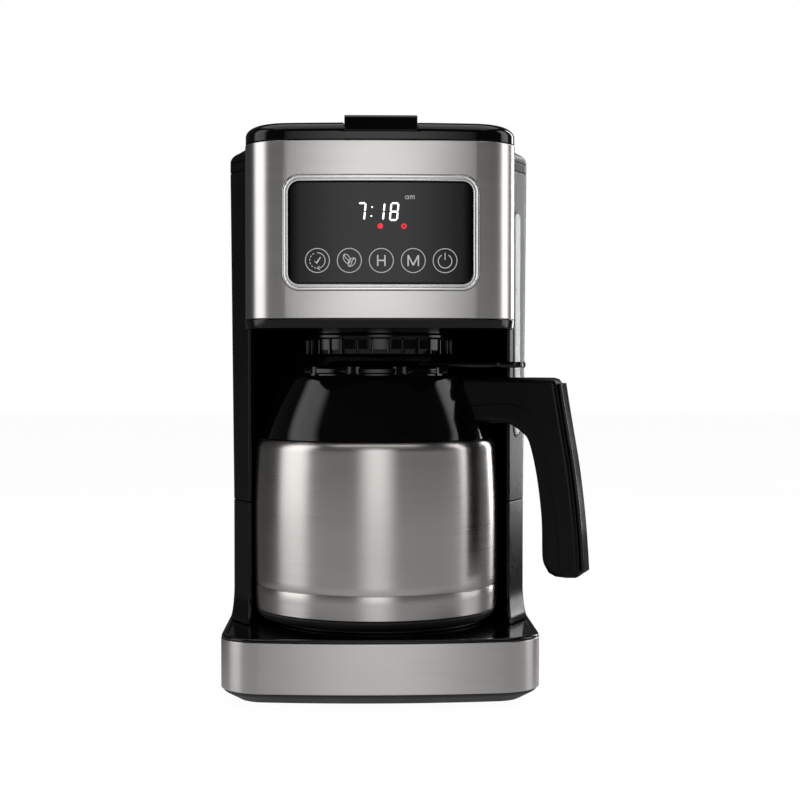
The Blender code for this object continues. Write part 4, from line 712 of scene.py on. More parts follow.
def cap_plan(inset):
    """The cap's plan with its outer edge drawn in by inset and its inner edge kept."""
    inner_half, back = LID_HALF + 0.8, LID_HIGH[1] + 1.2
    drawn = []
    for x, y in tower_plan(UPPER_HIGH[0], 0.0, TOWER_FRONT, inner_half, back, 14.0):
        on_inner = abs(x) <= inner_half + 0.2 and y <= back + 0.1
        if on_inner:
            drawn.append((x, y + (inset * 0.4 if y < TOWER_FRONT + 1 else 0)))
            continue
        reach = max(0.0, abs(x) - inner_half - 1.5)
        move = min(inset, reach) * (1 if x > 0 else -1)
        slide = inset if y > back + 0.8 else 0.0
        drawn.append((x - move, y - min(slide, max(0.0, y - back - 2.8))))
    return drawn


def tower_top():
    low, high = span("tower_cap")[0][2], CAP_TOP
    steps, shoulder = 12, 9.0
    sections = [(cap_plan(0), low)]
    for i in range(steps + 1):
        turn = radians(90 * i / steps)
        sections.append((cap_plan(shoulder * (1 - cos(turn))), high - (high - low - 0.6) * (1 - sin(turn))))
    cap = loft("tower_shoulder", sections)
    for side in (-1, 1):
        near, far = sorted((side * 51.6, side * 65.0))
        joined(cap, rod("barrel", 4, (near, HINGE_Y, HINGE_Z), (far, HINGE_Y, HINGE_Z), 32),
               block("arm", (near, HINGE_Y, low + 2), (far, 111, HINGE_Z)))
    carved(cap, rod("pin_way", PIN_BORE, (-67, HINGE_Y, HINGE_Z), (67, HINGE_Y, HINGE_Z)))
    worn(cap, "sparked_polypropylene", "machine", ["tower_cap"])


def slanted_face(height):
    """The place of the right slanted face's middle in plan, 1 mm out of it, and the face's turn."""
    half = tower_half(height)
    turn = atan2(SLANT_DEPTH, half - SLANT_START)
    middle = ((SLANT_START + half) / 2 - 0.6, TOWER_FRONT + SLANT_DEPTH / 2 - 1.0)
    return middle, Matrix.Rotation(turn, 4, "Z")


def window_slab(name, width, low, high, outer, inner, ease=0.5):
    """A slot-shaped plate square to the right slanted face; depths are measured out of the face."""
    radius = width / 2
    rows = [(0, -outer), (0, -inner)]
    if ease:
        rows[:1] = [(ease, -outer), (ease * 0.3, -outer + ease * 0.3), (0, -outer + ease)]
    bm = bmesh.new()
    made = []
    for inset, depth in rows:
        r = radius - inset
        outline = arc(0, high - radius, r, 0, 180, 20) + arc(0, low + radius, r, 180, 360, 20)
        made.append([bm.verts.new((x, depth, z)) for x, z in outline])
    skin(bm, made, round_rows=False, caps=True)
    slab = raw(name, bm)
    middle, turned_face = slanted_face((low + high) / 2)
    slab.data.transform(Matrix.Translation(Vector((*middle, 0)) * MM) @ turned_face)
    return slab


WINDOW_MIDDLE = 228.0  # its height


def water_window():
    lens = window_slab("window_lens", 8.8, 157.6, 298.4, 0.75, -0.6, 0.4)
    worn(lens, "frosted_san", "machine", ["water_window"])
    bead = window_slab("window_bead", 12.2, 155.9, 300.1, 0.6, -0.6, 0.3)
    carved(bead, window_slab("bead_hole", 9.8, 157.1, 298.9, 2, -2, 0.0))
    worn(bead, "sparked_polypropylene", "machine", ())


# ------------------------------------------------------------ head

PANEL_CENTRE_Z = sum(span("display_bezel")[i][2] for i in (0, 1)) / 2
BEZEL_WIDTH = span("display_bezel")[1][0] * 2
BEZEL_HEIGHT = span("display_bezel")[1][2] - span("display_bezel")[0][2]
BEZEL_CORNER = 10.0


def follow_bow(piece, columns=0, spread=60.0):
    """Bend a flat piece, drawn with its face at y 0, to the head's bowed front."""
    bm = bmesh.new()
    bm.from_mesh(piece.data)
    for i in range(1, columns):
        x = (-spread + 2 * spread * i / columns) * MM
        geometry = bm.verts[:] + bm.edges[:] + bm.faces[:]
        bmesh.ops.bisect_plane(bm, geom=geometry, plane_co=(x, 0, 0), plane_no=(1, 0, 0), dist=1e-7)
    radius = (BOW + 1.2) * MM
    for vert in bm.verts:
        vert.co.y += PANEL_FRONT * MM + radius - sqrt(radius * radius - vert.co.x ** 2)
    bm.to_mesh(piece.data)
    bm.free()
    return piece


def frame_rows(name, rows, closed):
    """A body through rounded rectangles: rows are (inset, depth) about the touch panel's middle."""
    bm = bmesh.new()
    made = []
    for inset, depth in rows:
        outline = rounded_rect(BEZEL_WIDTH - 2 * inset, BEZEL_HEIGHT - 2 * inset,
                               max(BEZEL_CORNER - inset, 0.5))
        made.append([bm.verts.new((x, depth, z + PANEL_CENTRE_Z)) for x, z in outline])
    skin(bm, made, round_rows=closed, caps=not closed)
    return raw(name, bm)


def head():
    cutter = frame_rows("window", [(-0.3, PANEL_FRONT - 10), (-0.3, PANEL_FRONT + 14)], False)
    panel = band("head_panel_steel", panel_run, sheet_profile(PANEL_LOW[2], PANEL_HIGH[2]))
    worn(carved(panel, cutter), "brushed_stainless", "machine", ["head_panel"])
    low, high = LIP_LOW[2], LIP_HIGH[2]
    edge = [(-0.5, low), (-0.25, low + 0.12), (-0.05, low + 0.5), (0.45, high - 0.7), (0.42, high - 0.3),
            (0.2, high), (-1.3, high), (-1.3, low)]
    lip = band("head_lip_moulding", panel_run, edge)
    worn(lip, "polished_abs", "machine", ["head_lip"])
    ridges = [(0.0, 2.2), (0.0, 0.0), (0.06, -0.3), (0.2, -0.52), (0.42, -0.64), (0.7, -0.68), (1.75, -0.68),
              (1.9, -0.6), (1.98, -0.3), (2.22, -0.3), (2.3, -0.52), (2.45, -0.6), (3.1, -0.6), (3.4, -0.5),
              (3.6, -0.3), (3.7, 0.0), (3.7, 2.2)]
    bezel = follow_bow(frame_rows("bezel_ring", ridges, True), 48)
    worn(bezel, "satin_chromium", "machine", ["display_bezel"], weighted=False)
    pane = [(4.5, 1.8), (4.0, 1.6), (4.0, 0.3), (4.1, 0.0), (4.4, -0.12), (4.8, -0.15)]
    glass = follow_bow(frame_rows("display_pane", pane, False), 60)
    worn(glass, "printed_glass", "machine", ["display_glass"], weighted=False)


FACE = -0.16  # the glass's front, where the signs lie
SIGN_BACK = FACE + 0.02  # the signs' backs are sunk this far
# the heights of the clock, of its lights and of the five touch signs
DIGIT_Z, LIGHT_Z, SIGN_Z = 291.1, 282.7, 262.7
SIGN_X, SIGN_PITCH, SIGN_RADIUS = 0.2, 18.62, 7.0  # SIGN_X is the middle sign's


def ribbon(bm, points, width, closed=False):
    """A flat stroke through points of the panel's face."""
    spots = [Vector(p) for p in points]
    count = len(spots)
    rows = []
    for i, spot in enumerate(spots):
        before = spots[(i - 1) % count] if closed or i else spot
        after = spots[(i + 1) % count] if closed or i < count - 1 else spot
        run = (after - before).normalized()
        side = Vector((-run.y, run.x)) * width / 2
        if 0 < i < count - 1 or closed:
            turn = (spot - before).normalized().dot(run)
            side /= max(turn, 0.5)
        rows.append([bm.verts.new((p.x, depth, p.y)) for depth, p in (
            (FACE - 0.06, spot + side), (FACE - 0.06, spot - side),
            (SIGN_BACK, spot - side), (SIGN_BACK, spot + side))])
    skin(bm, rows, round_rows=closed, caps=False)
    if not closed:
        bm.faces.new(rows[0])
        bm.faces.new(rows[-1])


def bar(bm, start, end, width):
    """A digit's segment: a bar with pointed ends."""
    a, b = Vector(start), Vector(end)
    run = (b - a).normalized()
    side = Vector((-run.y, run.x)) * width / 2
    tip = run * width / 2
    outline = [a, a + tip + side, b - tip + side, b, b - tip - side, a + tip - side]
    front = [bm.verts.new((p.x, FACE - 0.08, p.y)) for p in outline]
    back = [bm.verts.new((p.x, SIGN_BACK, p.y)) for p in outline]
    skin(bm, [front, back], round_rows=False, caps=True)


SEGMENTS = {"1": "bc", "7": "abc", "8": "abcdefg"}


def digits():
    bm = bmesh.new()
    tall, wide, stroke, slant = 10.8, 5.2, 1.05, 0.1
    corners = {"a": ((0, 1), (1, 1)), "b": ((1, 1), (1, 0.5)), "c": ((1, 0.5), (1, 0)), "d": ((0, 0), (1, 0)),
               "e": ((0, 0.5), (0, 0)), "f": ((0, 1), (0, 0.5)), "g": ((0, 0.5), (1, 0.5))}

    def spot(left, u, v):
        height = (v - 0.5) * (tall - stroke)
        return (left + stroke / 2 + u * (wide - stroke) + height * slant, DIGIT_Z + height)

    for left, sign in ((-14.0, "7"), (-3.0, "1"), (5.1, "8")):
        for part in SEGMENTS[sign]:
            (u0, v0), (u1, v1) = corners[part]
            a, b = Vector(spot(left, u0, v0)), Vector(spot(left, u1, v1))
            inset = (b - a).normalized() * 0.12
            bar(bm, a + inset, b - inset, stroke)
    for height in (-2.6, 2.6):
        x = -5.4 + height * slant
        bar(bm, (x - 0.62, DIGIT_Z + height), (x + 0.62, DIGIT_Z + height), 1.24)
    worn(follow_bow(raw("clock_digits", bm)), "lit_white", "machine", (), weighted=False)
    spots = (("brew_light", -0.4, 1.6, 0.08, "lit_red"), ("timer_light", 13.4, 1.6, 0.08, "lit_red"),
             ("timer_light_middle", 13.4, 0.75, 0.12, "dim_red"))
    for name, x, radius, lift, look in spots:
        bm = bmesh.new()
        ring = arc(x, LIGHT_Z, radius, 0, 345, 23)
        rows = [[bm.verts.new((px, depth, pz)) for px, pz in ring] for depth in (FACE - lift, SIGN_BACK)]
        skin(bm, rows, round_rows=False, caps=True)
        worn(follow_bow(raw(name, bm)), look, "machine", (), weighted=False)
    bm = bmesh.new()
    ribbon(bm, arc(15.0, 299.4, 0.9, 0, 340, 14), 0.3, True)
    ribbon(bm, [(15.95, 300.4), (15.95, 298.4)], 0.35)
    for x in (17.0, 18.2, 19.4):
        ribbon(bm, [(x, 300.2), (x, 298.4)], 0.35)
    ribbon(bm, [(16.8, 300.3), (19.6, 300.3)], 0.35)
    # the sign is grey print; its glow is painted light
    worn(follow_bow(raw("morning_sign", bm)), "grey_print_painted_glow", "machine", (), weighted=False)


def ellipse(cx, cz, long, short, lean, steps=28):
    turn = radians(lean)
    made = []
    for i in range(steps):
        t = 2 * pi * i / steps
        u, v = long * cos(t), short * sin(t)
        made.append((cx + u * cos(turn) - v * sin(turn), cz + u * sin(turn) + v * cos(turn)))
    return made


def touch_signs():
    """Five ringed signs: clean, strength, hour, minute and power."""
    bm = bmesh.new()
    thin, bold = 0.42, 0.8
    centres = [SIGN_X + SIGN_PITCH * i for i in (-2, -1, 0, 1, 2)]
    for x in centres:
        ribbon(bm, arc(x, SIGN_Z, SIGN_RADIUS, 0, 355, 71), thin, True)
    x = centres[0]
    for start in (115, 141, 167, 193, 219, 245):
        ribbon(bm, arc(x, SIGN_Z, 4.5, start, start + 15, 4), thin)
    ribbon(bm, arc(x, SIGN_Z, 4.5, -78, 92, 24), thin)
    ribbon(bm, [(x + 1.6, SIGN_Z - 5.5), (x - 0.1, SIGN_Z - 4.5), (x + 1.2, SIGN_Z - 3.2)], thin)
    ribbon(bm, [(x - 1.7, SIGN_Z - 0.3), (x - 0.6, SIGN_Z - 1.6), (x + 1.9, SIGN_Z + 2.0)], thin * 1.2)
    x = centres[1]
    for dx, dz, lean in ((-1.5, 1.0, 118), (1.4, -1.0, 52)):
        ribbon(bm, ellipse(x + dx, SIGN_Z + dz, 2.9, 1.75, lean), thin, True)
        turn = radians(lean)
        line = []
        for i in range(9):
            u, v = -2.7 + 5.4 * i / 8, 0.45 * sin(pi * (i / 4 - 1))
            line.append((x + dx + u * cos(turn) - v * sin(turn), SIGN_Z + dz + u * sin(turn) + v * cos(turn)))
        ribbon(bm, line, thin)
    x = centres[2]
    for side in (-1, 1):
        ribbon(bm, [(x + 2.1 * side, SIGN_Z - 3.2), (x + 2.1 * side, SIGN_Z + 3.2)], bold)
    ribbon(bm, [(x - 2.1, SIGN_Z), (x + 2.1, SIGN_Z)], bold)
    x = centres[3]
    for side in (-1, 1):
        ribbon(bm, [(x + 3.0 * side, SIGN_Z - 3.2), (x + 3.0 * side, SIGN_Z + 3.2)], bold)
        ribbon(bm, [(x + 2.9 * side, SIGN_Z + 3.0), (x, SIGN_Z - 2.7)], bold)
    x = centres[4]
    ribbon(bm, arc(x, SIGN_Z - 0.3, 4.0, -240, 60, 40), thin * 1.15)
    ribbon(bm, [(x, SIGN_Z + 0.5), (x, SIGN_Z + 4.6)], thin * 1.15)
    # the signs are grey print; their glow is painted light
    worn(follow_bow(raw("touch_signs", bm)), "grey_print_painted_glow", "machine", (), weighted=False)


# ------------------------------------------------------------ top lid


def lid_plan(inset):
    corner = 28 - min(inset, 23)
    return bowed(LID_HALF - inset, LID_LOW[1] + inset, LID_HIGH[1] - inset, corner, 13.0 - min(inset, 10.0),
                 BOW - inset)


def lid_rings(wall):
    """A vertical band, then a shoulder that turns into a nearly flat top."""
    low, band_top, rise = LID_LOW[2], LID_LOW[2] + 4.4, 6.6
    if wall:
        rings = [(wall, low - 1)]
    else:
        rings = [(0.35, low), (0.1, low + 0.1), (0, low + 0.35)]
    rings.append((wall, band_top - wall))
    for i in range(1, 11):
        turn = radians(9 * i)
        rings.append((wall + 11 * (1 - cos(turn)), band_top - wall + rise * sin(turn)))
    rings += [(wall + 18, band_top + 7.4 - wall), (wall + 32, band_top + 8.6 - wall),
              (wall + 52, band_top + 9.2 - wall)]
    return [(lid_plan(inset), z) for inset, z in rings]


def lid():
    cover = loft("lid_cover", lid_rings(0))
    carved(cover, loft("lid_room", lid_rings(2.4)))
    joined(cover, rod("barrel", 4, (-51, HINGE_Y, HINGE_Z), (51, HINGE_Y, HINGE_Z), 40))
    cutters = [rod("pin_way", PIN_BORE, (-54, HINGE_Y, HINGE_Z), (54, HINGE_Y, HINGE_Z))]
    for side in (-1, 1):
        near, far = sorted((side * 51.0, side * 65.6))
        cutters.append(block("notch", (near, HINGE_Y - 6, LID_LOW[2] - 2), (far, LID_HIGH[1] + 4, 350)))
    tab_low, tab_high = span("lid_tab")
    cutters.append(block("tab_room", (tab_low[0] - 0.6, tab_low[1] - 5, tab_low[2] - 0.3),
                         (tab_high[0] + 0.6, tab_high[1] + 0.6, 353)))
    worn(carved(cover, *cutters), "polished_abs", "lid", ["top_lid"])
    half, low, top = tab_high[0], tab_low[2], tab_high[2]
    front, back = tab_low[1], tab_high[1]
    side = [(front, low), (front + 1.6, top - 3.2), (front + 2.0, top - 2.6), (front + 3.2, top - 1.7),
            (front + 6, top - 1.2), (back - 5, top), (back - 1.6, top - 0.3), (back, top - 2), (back, low)]
    bm = bmesh.new()
    rows = [[bm.verts.new((x, y, z)) for y, z in side] for x in (-half, half)]
    skin(bm, rows, round_rows=False, caps=True)
    worn(eased(raw("lid_finger_tab", bm), 0.5, 4, 24), "polished_abs", "lid", ["lid_tab"])


# ------------------------------------------------------------ brewing parts


def springs():
    """Two compression springs, each a coil of wire within its node's box."""
    turns, steps, sides = 4, 24, 10
    for name, node, body, joint, lift, wire in (
        ("drip_return_spring", "drip_spring", "funnel", "drip_stop_lift", 4.0, 0.5),
        ("lever_return_spring", "lever_spring", "carafe_top", "lever_press", 1.68, 0.4),
    ):
        low, high = span(node)
        x, y, foot, top = (low[0] + high[0]) / 2, (low[1] + high[1]) / 2, low[2], high[2]
        radius, rise = (high[0] - low[0]) / 2 - wire, top - foot - 2 * wire
        bm = bmesh.new()
        rows = []
        for i in range(turns * steps + 1):
            turn, height = 2 * pi * i / steps, foot + wire + rise * i / (turns * steps)
            row = []
            for k in range(sides):
                away = 2 * pi * k / sides
                out, up = radius + wire * cos(away), wire * sin(away)
                row.append(bm.verts.new((x + out * cos(turn), y + out * sin(turn), height + up)))
            rows.append(row)
        skin(bm, rows, round_rows=False, caps=True)
        coil = worn(raw(name, bm), "drawn_stainless", body, [node])
        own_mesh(coil)


def brewing():
    low, high = span("brew_funnel")
    x, y = 0.0, (low[1] + high[1]) / 2
    foot, rim = low[2], high[2] - 2.4
    throat, bore, deck = 45.6, 6.4, foot + 5
    profile = [(bore, foot + 1), (14, foot), (throat - 5, foot), (throat - 1, foot + 1.2),
               (throat, foot + 4), (throat, 218), (throat + 0.8, 218.6), (throat + 0.8, 220.6),
               (throat, 221.2), (throat, 227.8), (54, rim), (60, rim), (60, rim + 2.4), (52, rim + 2.4),
               (throat - 2, 227.8), (throat - 2, deck + 3), (bore, deck)]
    cone = turned("funnel_cone", rounded(profile + profile[:1], 0.7)[1:], x, y)
    bar_low, bar_high = 231.1, 233.1
    cross = block("spring_bar", (-throat + 1, y - 4, bar_low), (throat - 1, y + 4, bar_high))
    carved(cross, rod("stem_way", 3.8, (x, y, bar_low - 1), (x, y, bar_high + 1)))
    joined(cone, cross)
    worn(cone, "polished_abs", "funnel", ["brew_funnel"])
    low, high = span("drip_plunger")
    tip, seat, stem = low[2], 218.5, high[2]
    profile = [(0, tip), (3.4, tip), (4.9, tip + 0.5), (5.6, tip + 1.6), (5.8, tip + 3), (5.8, seat - 1.5),
               (9.0, seat - 1.5), (9.0, seat), (3.0, seat), (3.0, stem - 0.5), (2.5, stem), (0, stem)]
    stopper = turned("drip_stopper", profile, x, y, 48)
    worn(stopper, "sparked_polypropylene", "drip_stop", ["drip_plunger"])
    low, high = span("mesh_filter")
    floor, rim = low[2], high[2] - 1.6
    profile = [(0, floor), (39.6, floor), (49.5, rim - 0.4), (49.5, rim), (55, rim), (55, rim + 1.6),
               (48, rim + 1.6), (47.6, rim - 0.6), (38.2, floor + 1.4), (0, floor + 1.4)]
    basket = turned("filter_basket", rounded(profile, 0.4), x, y)
    worn(basket, "filter_nylon", "filter", ["mesh_filter"])


# ------------------------------------------------------------ carafe

(SHELL_LOW, SHELL_HIGH) = span("carafe_shell")
CARAFE_X, CARAFE_Y = (SHELL_LOW[0] + SHELL_HIGH[0]) / 2, (SHELL_LOW[1] + SHELL_HIGH[1]) / 2
CARAFE_RADIUS = (SHELL_HIGH[0] - SHELL_LOW[0]) / 2
BODY_LOW, SHOULDER = SHELL_LOW[2], SHELL_HIGH[2]
COLLAR_TOP, COLLAR_TOP_RADIUS, SHOULDER_RADIUS = 195.4, 57.7, 71.9
HANDLE_TURN = -18.0


def aimed(piece):
    """Turn a piece drawn along +X about the origin to the handle's direction on the carafe."""
    place = Matrix.Translation(Vector((CARAFE_X, CARAFE_Y, 0)) * MM)
    piece.data.transform(place @ Matrix.Rotation(radians(HANDLE_TURN), 4, "Z"))
    return piece


def body_radius(height):
    """The steel body swells a little from its foot and rounds in to its shoulder."""
    belly, taper, ease = 103.0, 1.4, 6.0
    bend = SHOULDER - ease
    if height < belly:
        return CARAFE_RADIUS - 0.4 * (belly - height) / (belly - BODY_LOW)
    if height < bend:
        return CARAFE_RADIUS - taper * ((height - belly) / (bend - belly)) ** 2
    last = min(1.0, (height - bend) / ease)
    start = CARAFE_RADIUS - taper
    return start - (start - SHOULDER_RADIUS) * (1 - sqrt(1 - last * last))


def collar_radius(height):
    share = (COLLAR_TOP - height) / (COLLAR_TOP - SHOULDER - 0.3)
    bulge = 1.2 * sin(pi * min(max(share, 0), 1))
    return COLLAR_TOP_RADIUS + (SHOULDER_RADIUS - COLLAR_TOP_RADIUS) * share + bulge


def carafe_body():
    groove = 65.1
    heights = [BODY_LOW + 0.5, BODY_LOW + 4, 60, groove - 0.5, groove - 0.35, groove - 0.15, groove + 0.15,
               groove + 0.35, groove + 0.5, 70] + [76 + 6 * i for i in range(12)]
    bend = SHOULDER - 6
    heights += [bend + 6 * sin(radians(t)) for t in range(0, 91, 9)]
    outside = [(body_radius(BODY_LOW) - 0.5, BODY_LOW)]
    for height in heights:
        away = abs(height - groove)
        outside.append((body_radius(height) - (0.55 if away < 0.2 else 0.06 if away < 0.4 else 0), height))
    inside = [(body_radius(h) - 0.9, h) for h in (SHOULDER, SHOULDER - 2, bend, 120, 80)]
    inside += [(body_radius(80) - 0.9, BODY_LOW + 0.9), (0, BODY_LOW + 0.9)]
    profile = [(0, BODY_LOW)] + outside + inside
    steel = turned("carafe_body_steel", profile, CARAFE_X, CARAFE_Y, 144)
    worn(steel, "spun_stainless", "carafe", ["carafe_shell"], weighted=False)
    low, high = span("carafe_base")[0][2], span("carafe_base")[1][2]
    profile = [(0, low + 0.8), (64, low + 0.8), (65, low), (70, low), (72.6, low + 0.9), (74.6, low + 2.7),
               (75.6, low + 5), (75.6, high - 0.4), (75.2, high), (0, high)]
    foot = turned("carafe_foot", rounded(profile, 0.8), CARAFE_X, CARAFE_Y, 128)
    worn(foot, "filled_nylon", "carafe", ["carafe_base"])


SPOUT_TURN = radians(HANDLE_TURN + 180)
SPOUT_WIDTH = radians(19)
SPOUT_REACH = 18.0


def pouring(radius, height, turn):
    """Draws the collar's rim out into a spout, and sinks a channel along it."""
    away = abs((turn - SPOUT_TURN + pi) % (2 * pi) - pi)
    if away > SPOUT_WIDTH or radius < 50.5:
        return radius, height
    across = cos(away / SPOUT_WIDTH * pi / 2) ** 2
    rise = max(0.0, min(1.0, (height - (COLLAR_TOP - 17)) / 17))
    sharp = across ** (1 + 1.6 * rise)
    share = max(0.0, (radius - 50.3) / (COLLAR_TOP_RADIUS - 50.3)) if height > COLLAR_TOP - 3 else 1.0
    reach = SPOUT_REACH * rise ** 1.7 * sharp * min(share, 1.0)
    lift = 0.6 * across if height > COLLAR_TOP - 1.5 and share > 0.9 else 0.0
    sink = -3.4 * across ** 3 if height > COLLAR_TOP - 1.5 and share < 0.86 else 0.0
    return radius + reach, height + lift + sink


def carafe_neck():
    low = SHOULDER + 0.3
    outside = [(collar_radius(low) - 0.5, low), (collar_radius(low), low + 0.5)]
    heights = [low + (COLLAR_TOP - 1.2 - low) * i / 18 for i in range(1, 19)]
    outside += [(collar_radius(h), h) for h in heights]
    outside += [(COLLAR_TOP_RADIUS - 0.1, COLLAR_TOP - 0.5), (COLLAR_TOP_RADIUS - 0.5, COLLAR_TOP)]
    top = [(radius, COLLAR_TOP) for radius in (56.6, 55.6, 54.2, 52.6, 51.2, 50.3)]
    inside = [(50.3, COLLAR_TOP - 2.6), (54.4, COLLAR_TOP - 4)]
    inside += [(collar_radius(h) - 2.2, h) for h in (186, 176, 166, low)]
    ring = turned("carafe_neck_ring", outside + top + inside, CARAFE_X, CARAFE_Y, 288, pouring)
    worn(ring, "polished_abs", "carafe", ["carafe_collar"], smooth=50, weighted=False)


def inset_outline(points, inset):
    """A closed outline moved in along its own normals."""
    spots = [Vector(p) for p in points]
    count = len(spots)
    area = sum(a.x * b.y - b.x * a.y for a, b in zip(spots, spots[1:] + spots[:1]))
    sign = 1 if area > 0 else -1
    made = []
    for i, spot in enumerate(spots):
        run = (spots[(i + 1) % count] - spots[i - 1]).normalized()
        made.append(spot + Vector((-run.y, run.x)) * inset * sign)
    return made


def plate_across(name, outline, half, ease, steps=6):
    """An upright plate in X and Z, from -half to half across, with its edges rounded by ease."""
    bm = bmesh.new()
    rows = []
    for side in (-1, 1):
        turns = [pi / 2 * i / steps for i in range(steps + 1)]
        for t in (turns if side < 0 else turns[::-1]):
            inset, depth = ease * (1 - sin(t)), side * (half - ease * (1 - cos(t)))
            rows.append([bm.verts.new((p.x, depth, p.y)) for p in inset_outline(outline, inset)])
    skin(bm, rows, round_rows=False, caps=True)
    return raw(name, bm)


HANDLE_BACK = [(121.0, 190.8), (123.1, 177.4), (126.2, 159.1), (129.3, 140.8), (131.7, 122.5),
               (133.6, 104.3), (135.0, 86.0), (135.6, 75.5)]
HANDLE_INNER = [(110.3, 80.0), (109.3, 86.0), (108.8, 108.4), (105.7, 134.2), (101.0, 154.5), (96.3, 160.6),
                (90.0, 164.8), (83.1, 166.0), (70.0, 166.0)]
HANDLE_CREASE = [(62.0, 176.5), (72.0, 177.4), (84.4, 178.6), (93.0, 177.4), (99.2, 174.6), (104.4, 170.4),
                 (107.5, 165.1), (109.8, 154.0), (111.9, 142.8), (114.2, 131.6), (116.2, 121.4),
                 (118.6, 104.0), (120.2, 84.3), (120.6, 76.0)]


def carafe_handle():
    half = 11.5
    back = [(x - 2.5, z) for x, z in HANDLE_BACK]
    outline = [(58.0, 194.1), (80.0, 194.2), (100.0, 194.2), (113.5, 194.1), (116.6, 193.2)]
    outline += [tuple(p) for p in through(back, 5)]
    outline += [(132.0, 73.0), (130.0, 72.0), (124.3, 71.8), (117.6, 72.4), (113.4, 74.6)]
    outline += [tuple(p) for p in through(HANDLE_INNER, 5)] + [(58.0, 166.0)]
    grip = plate_across("handle_grip", outline, half, 3.4)
    for side in (-1, 1):
        path = [(p.x, side * (half + 0.15), p.y) for p in through(HANDLE_CREASE, 4)]
        carved(grip, tube("crease", path, 0.55, 8))
    clear = [(0, 150)] + [(collar_radius(h) + 0.3, h) for h in range(150, 200, 5)] + [(0, 196)]
    aimed(grip)
    carved(grip, turned("collar_room", clear, CARAFE_X, CARAFE_Y, 144))
    worn(grip, "sparked_polypropylene", "carafe", ["carafe_handle"])
    outer = [tuple(p) for p in through(HANDLE_BACK, 5)]
    inner = [(x - 2.2, z) for x, z in reversed(outer)]
    trim = plate_across("handle_trim", outer + inner, 9.0, 0.9, 4)
    worn(aimed(trim), "polished_abs", "carafe", ["handle_strip"])


LOBES = 10
LEVER_PIN_X, LEVER_PIN_Z, LEVER_BORE = 24, 202.05, 1.55  # drawn along +X, as for aimed()


def lobed(radius, height, turn):
    """Bites round the lid's edge leave rounded lobes between them."""
    spacing = 2 * pi / LOBES
    away = (turn - radians(HANDLE_TURN)) % spacing - spacing / 2
    centre, bite = 54.0, 7.5
    offset = centre * sin(away)
    if height < COLLAR_TOP + 0.8 or abs(offset) >= bite:
        return radius, height
    limit = centre * cos(away) - sqrt(bite * bite - offset * offset)
    return (min(radius, limit), height) if radius > 44 else (radius, height)


def carafe_top():
    low, high = span("carafe_lid")
    plug, seat, flange = low[2], COLLAR_TOP + 0.9, 200.7
    top = high[2]
    profile = [(0, plug), (46.6, plug), (47.6, plug + 1), (47.6, plug + 4), (45.6, plug + 4),
               (45.6, plug + 7.4), (47.6, plug + 7.4), (47.6, seat), (49.8, seat), (50.6, seat + 0.8),
               (50.6, flange - 1.6), (50.2, flange - 0.7), (49.4, flange - 0.15), (48.0, flange),
               (44.0, flange), (36.0, flange), (32.6, flange + 0.1), (31.4, flange + 0.5),
               (30.0, flange + 2.4), (29.0, top - 0.6), (28.0, top - 0.1), (26.6, top), (0, top)]
    cover = turned("carafe_cover", profile, CARAFE_X, CARAFE_Y, 240, lobed)
    slot_low = 197.8
    slot = aimed(block("lever_slot", (-8, -6.6, slot_low), (57, 6.6, top + 2)))
    roof = slot_low - 2
    bore = [(0, plug - 2), (5, plug - 2), (5, plug + 2.4), (12, plug + 2.4), (12, roof), (2.8, roof),
            (2.8, slot_low + 1), (0, slot_low + 1)]
    chamber = turned("valve_chamber", bore, CARAFE_X, CARAFE_Y, 32)
    pin = aimed(rod("pin_way", LEVER_BORE, (LEVER_PIN_X, -10, LEVER_PIN_Z), (LEVER_PIN_X, 10, LEVER_PIN_Z)))
    worn(carved(cover, slot, chamber, pin), "polished_abs", "carafe_top", ["carafe_lid"])
    lever_low, lever_high = span("thumb_lever")
    low, high = lever_low[2], lever_high[2]
    tip, inner, wide, pad = 96.0, -3.5, 6.0, 9.0
    edge = [(inner, wide), (60, wide), (68, wide + 0.1)] + bent((68, wide + 0.1), (78, wide), (84, pad), 6)
    edge += arc(tip - 5, pad - 5, 5, 90, 0, 6)
    outline = [(x, -y) for x, y in edge] + list(reversed(edge))
    ease = 0.9
    rows = [(ease, low), (ease * 0.3, low + ease * 0.3), (0, low + ease), (0, high - ease),
            (ease * 0.3, high - ease * 0.3), (ease, high)]
    lever = loft("lever_bar", [([tuple(p) for p in inset_outline(outline, inset)], z) for inset, z in rows])
    bore = rod("bore", LEVER_BORE, (LEVER_PIN_X, -12, LEVER_PIN_Z), (LEVER_PIN_X, 12, LEVER_PIN_Z))
    carved(lever, bore, block("fork", (-5, -3, low - 1), (3, 3, high + 1)),
           block("step", (-5, -8, low + 2), (6.8, 8, high + 1)))
    worn(aimed(lever), "polished_abs", "lever", ["thumb_lever"])


# ------------------------------------------------------------ repeats, made with geometry nodes


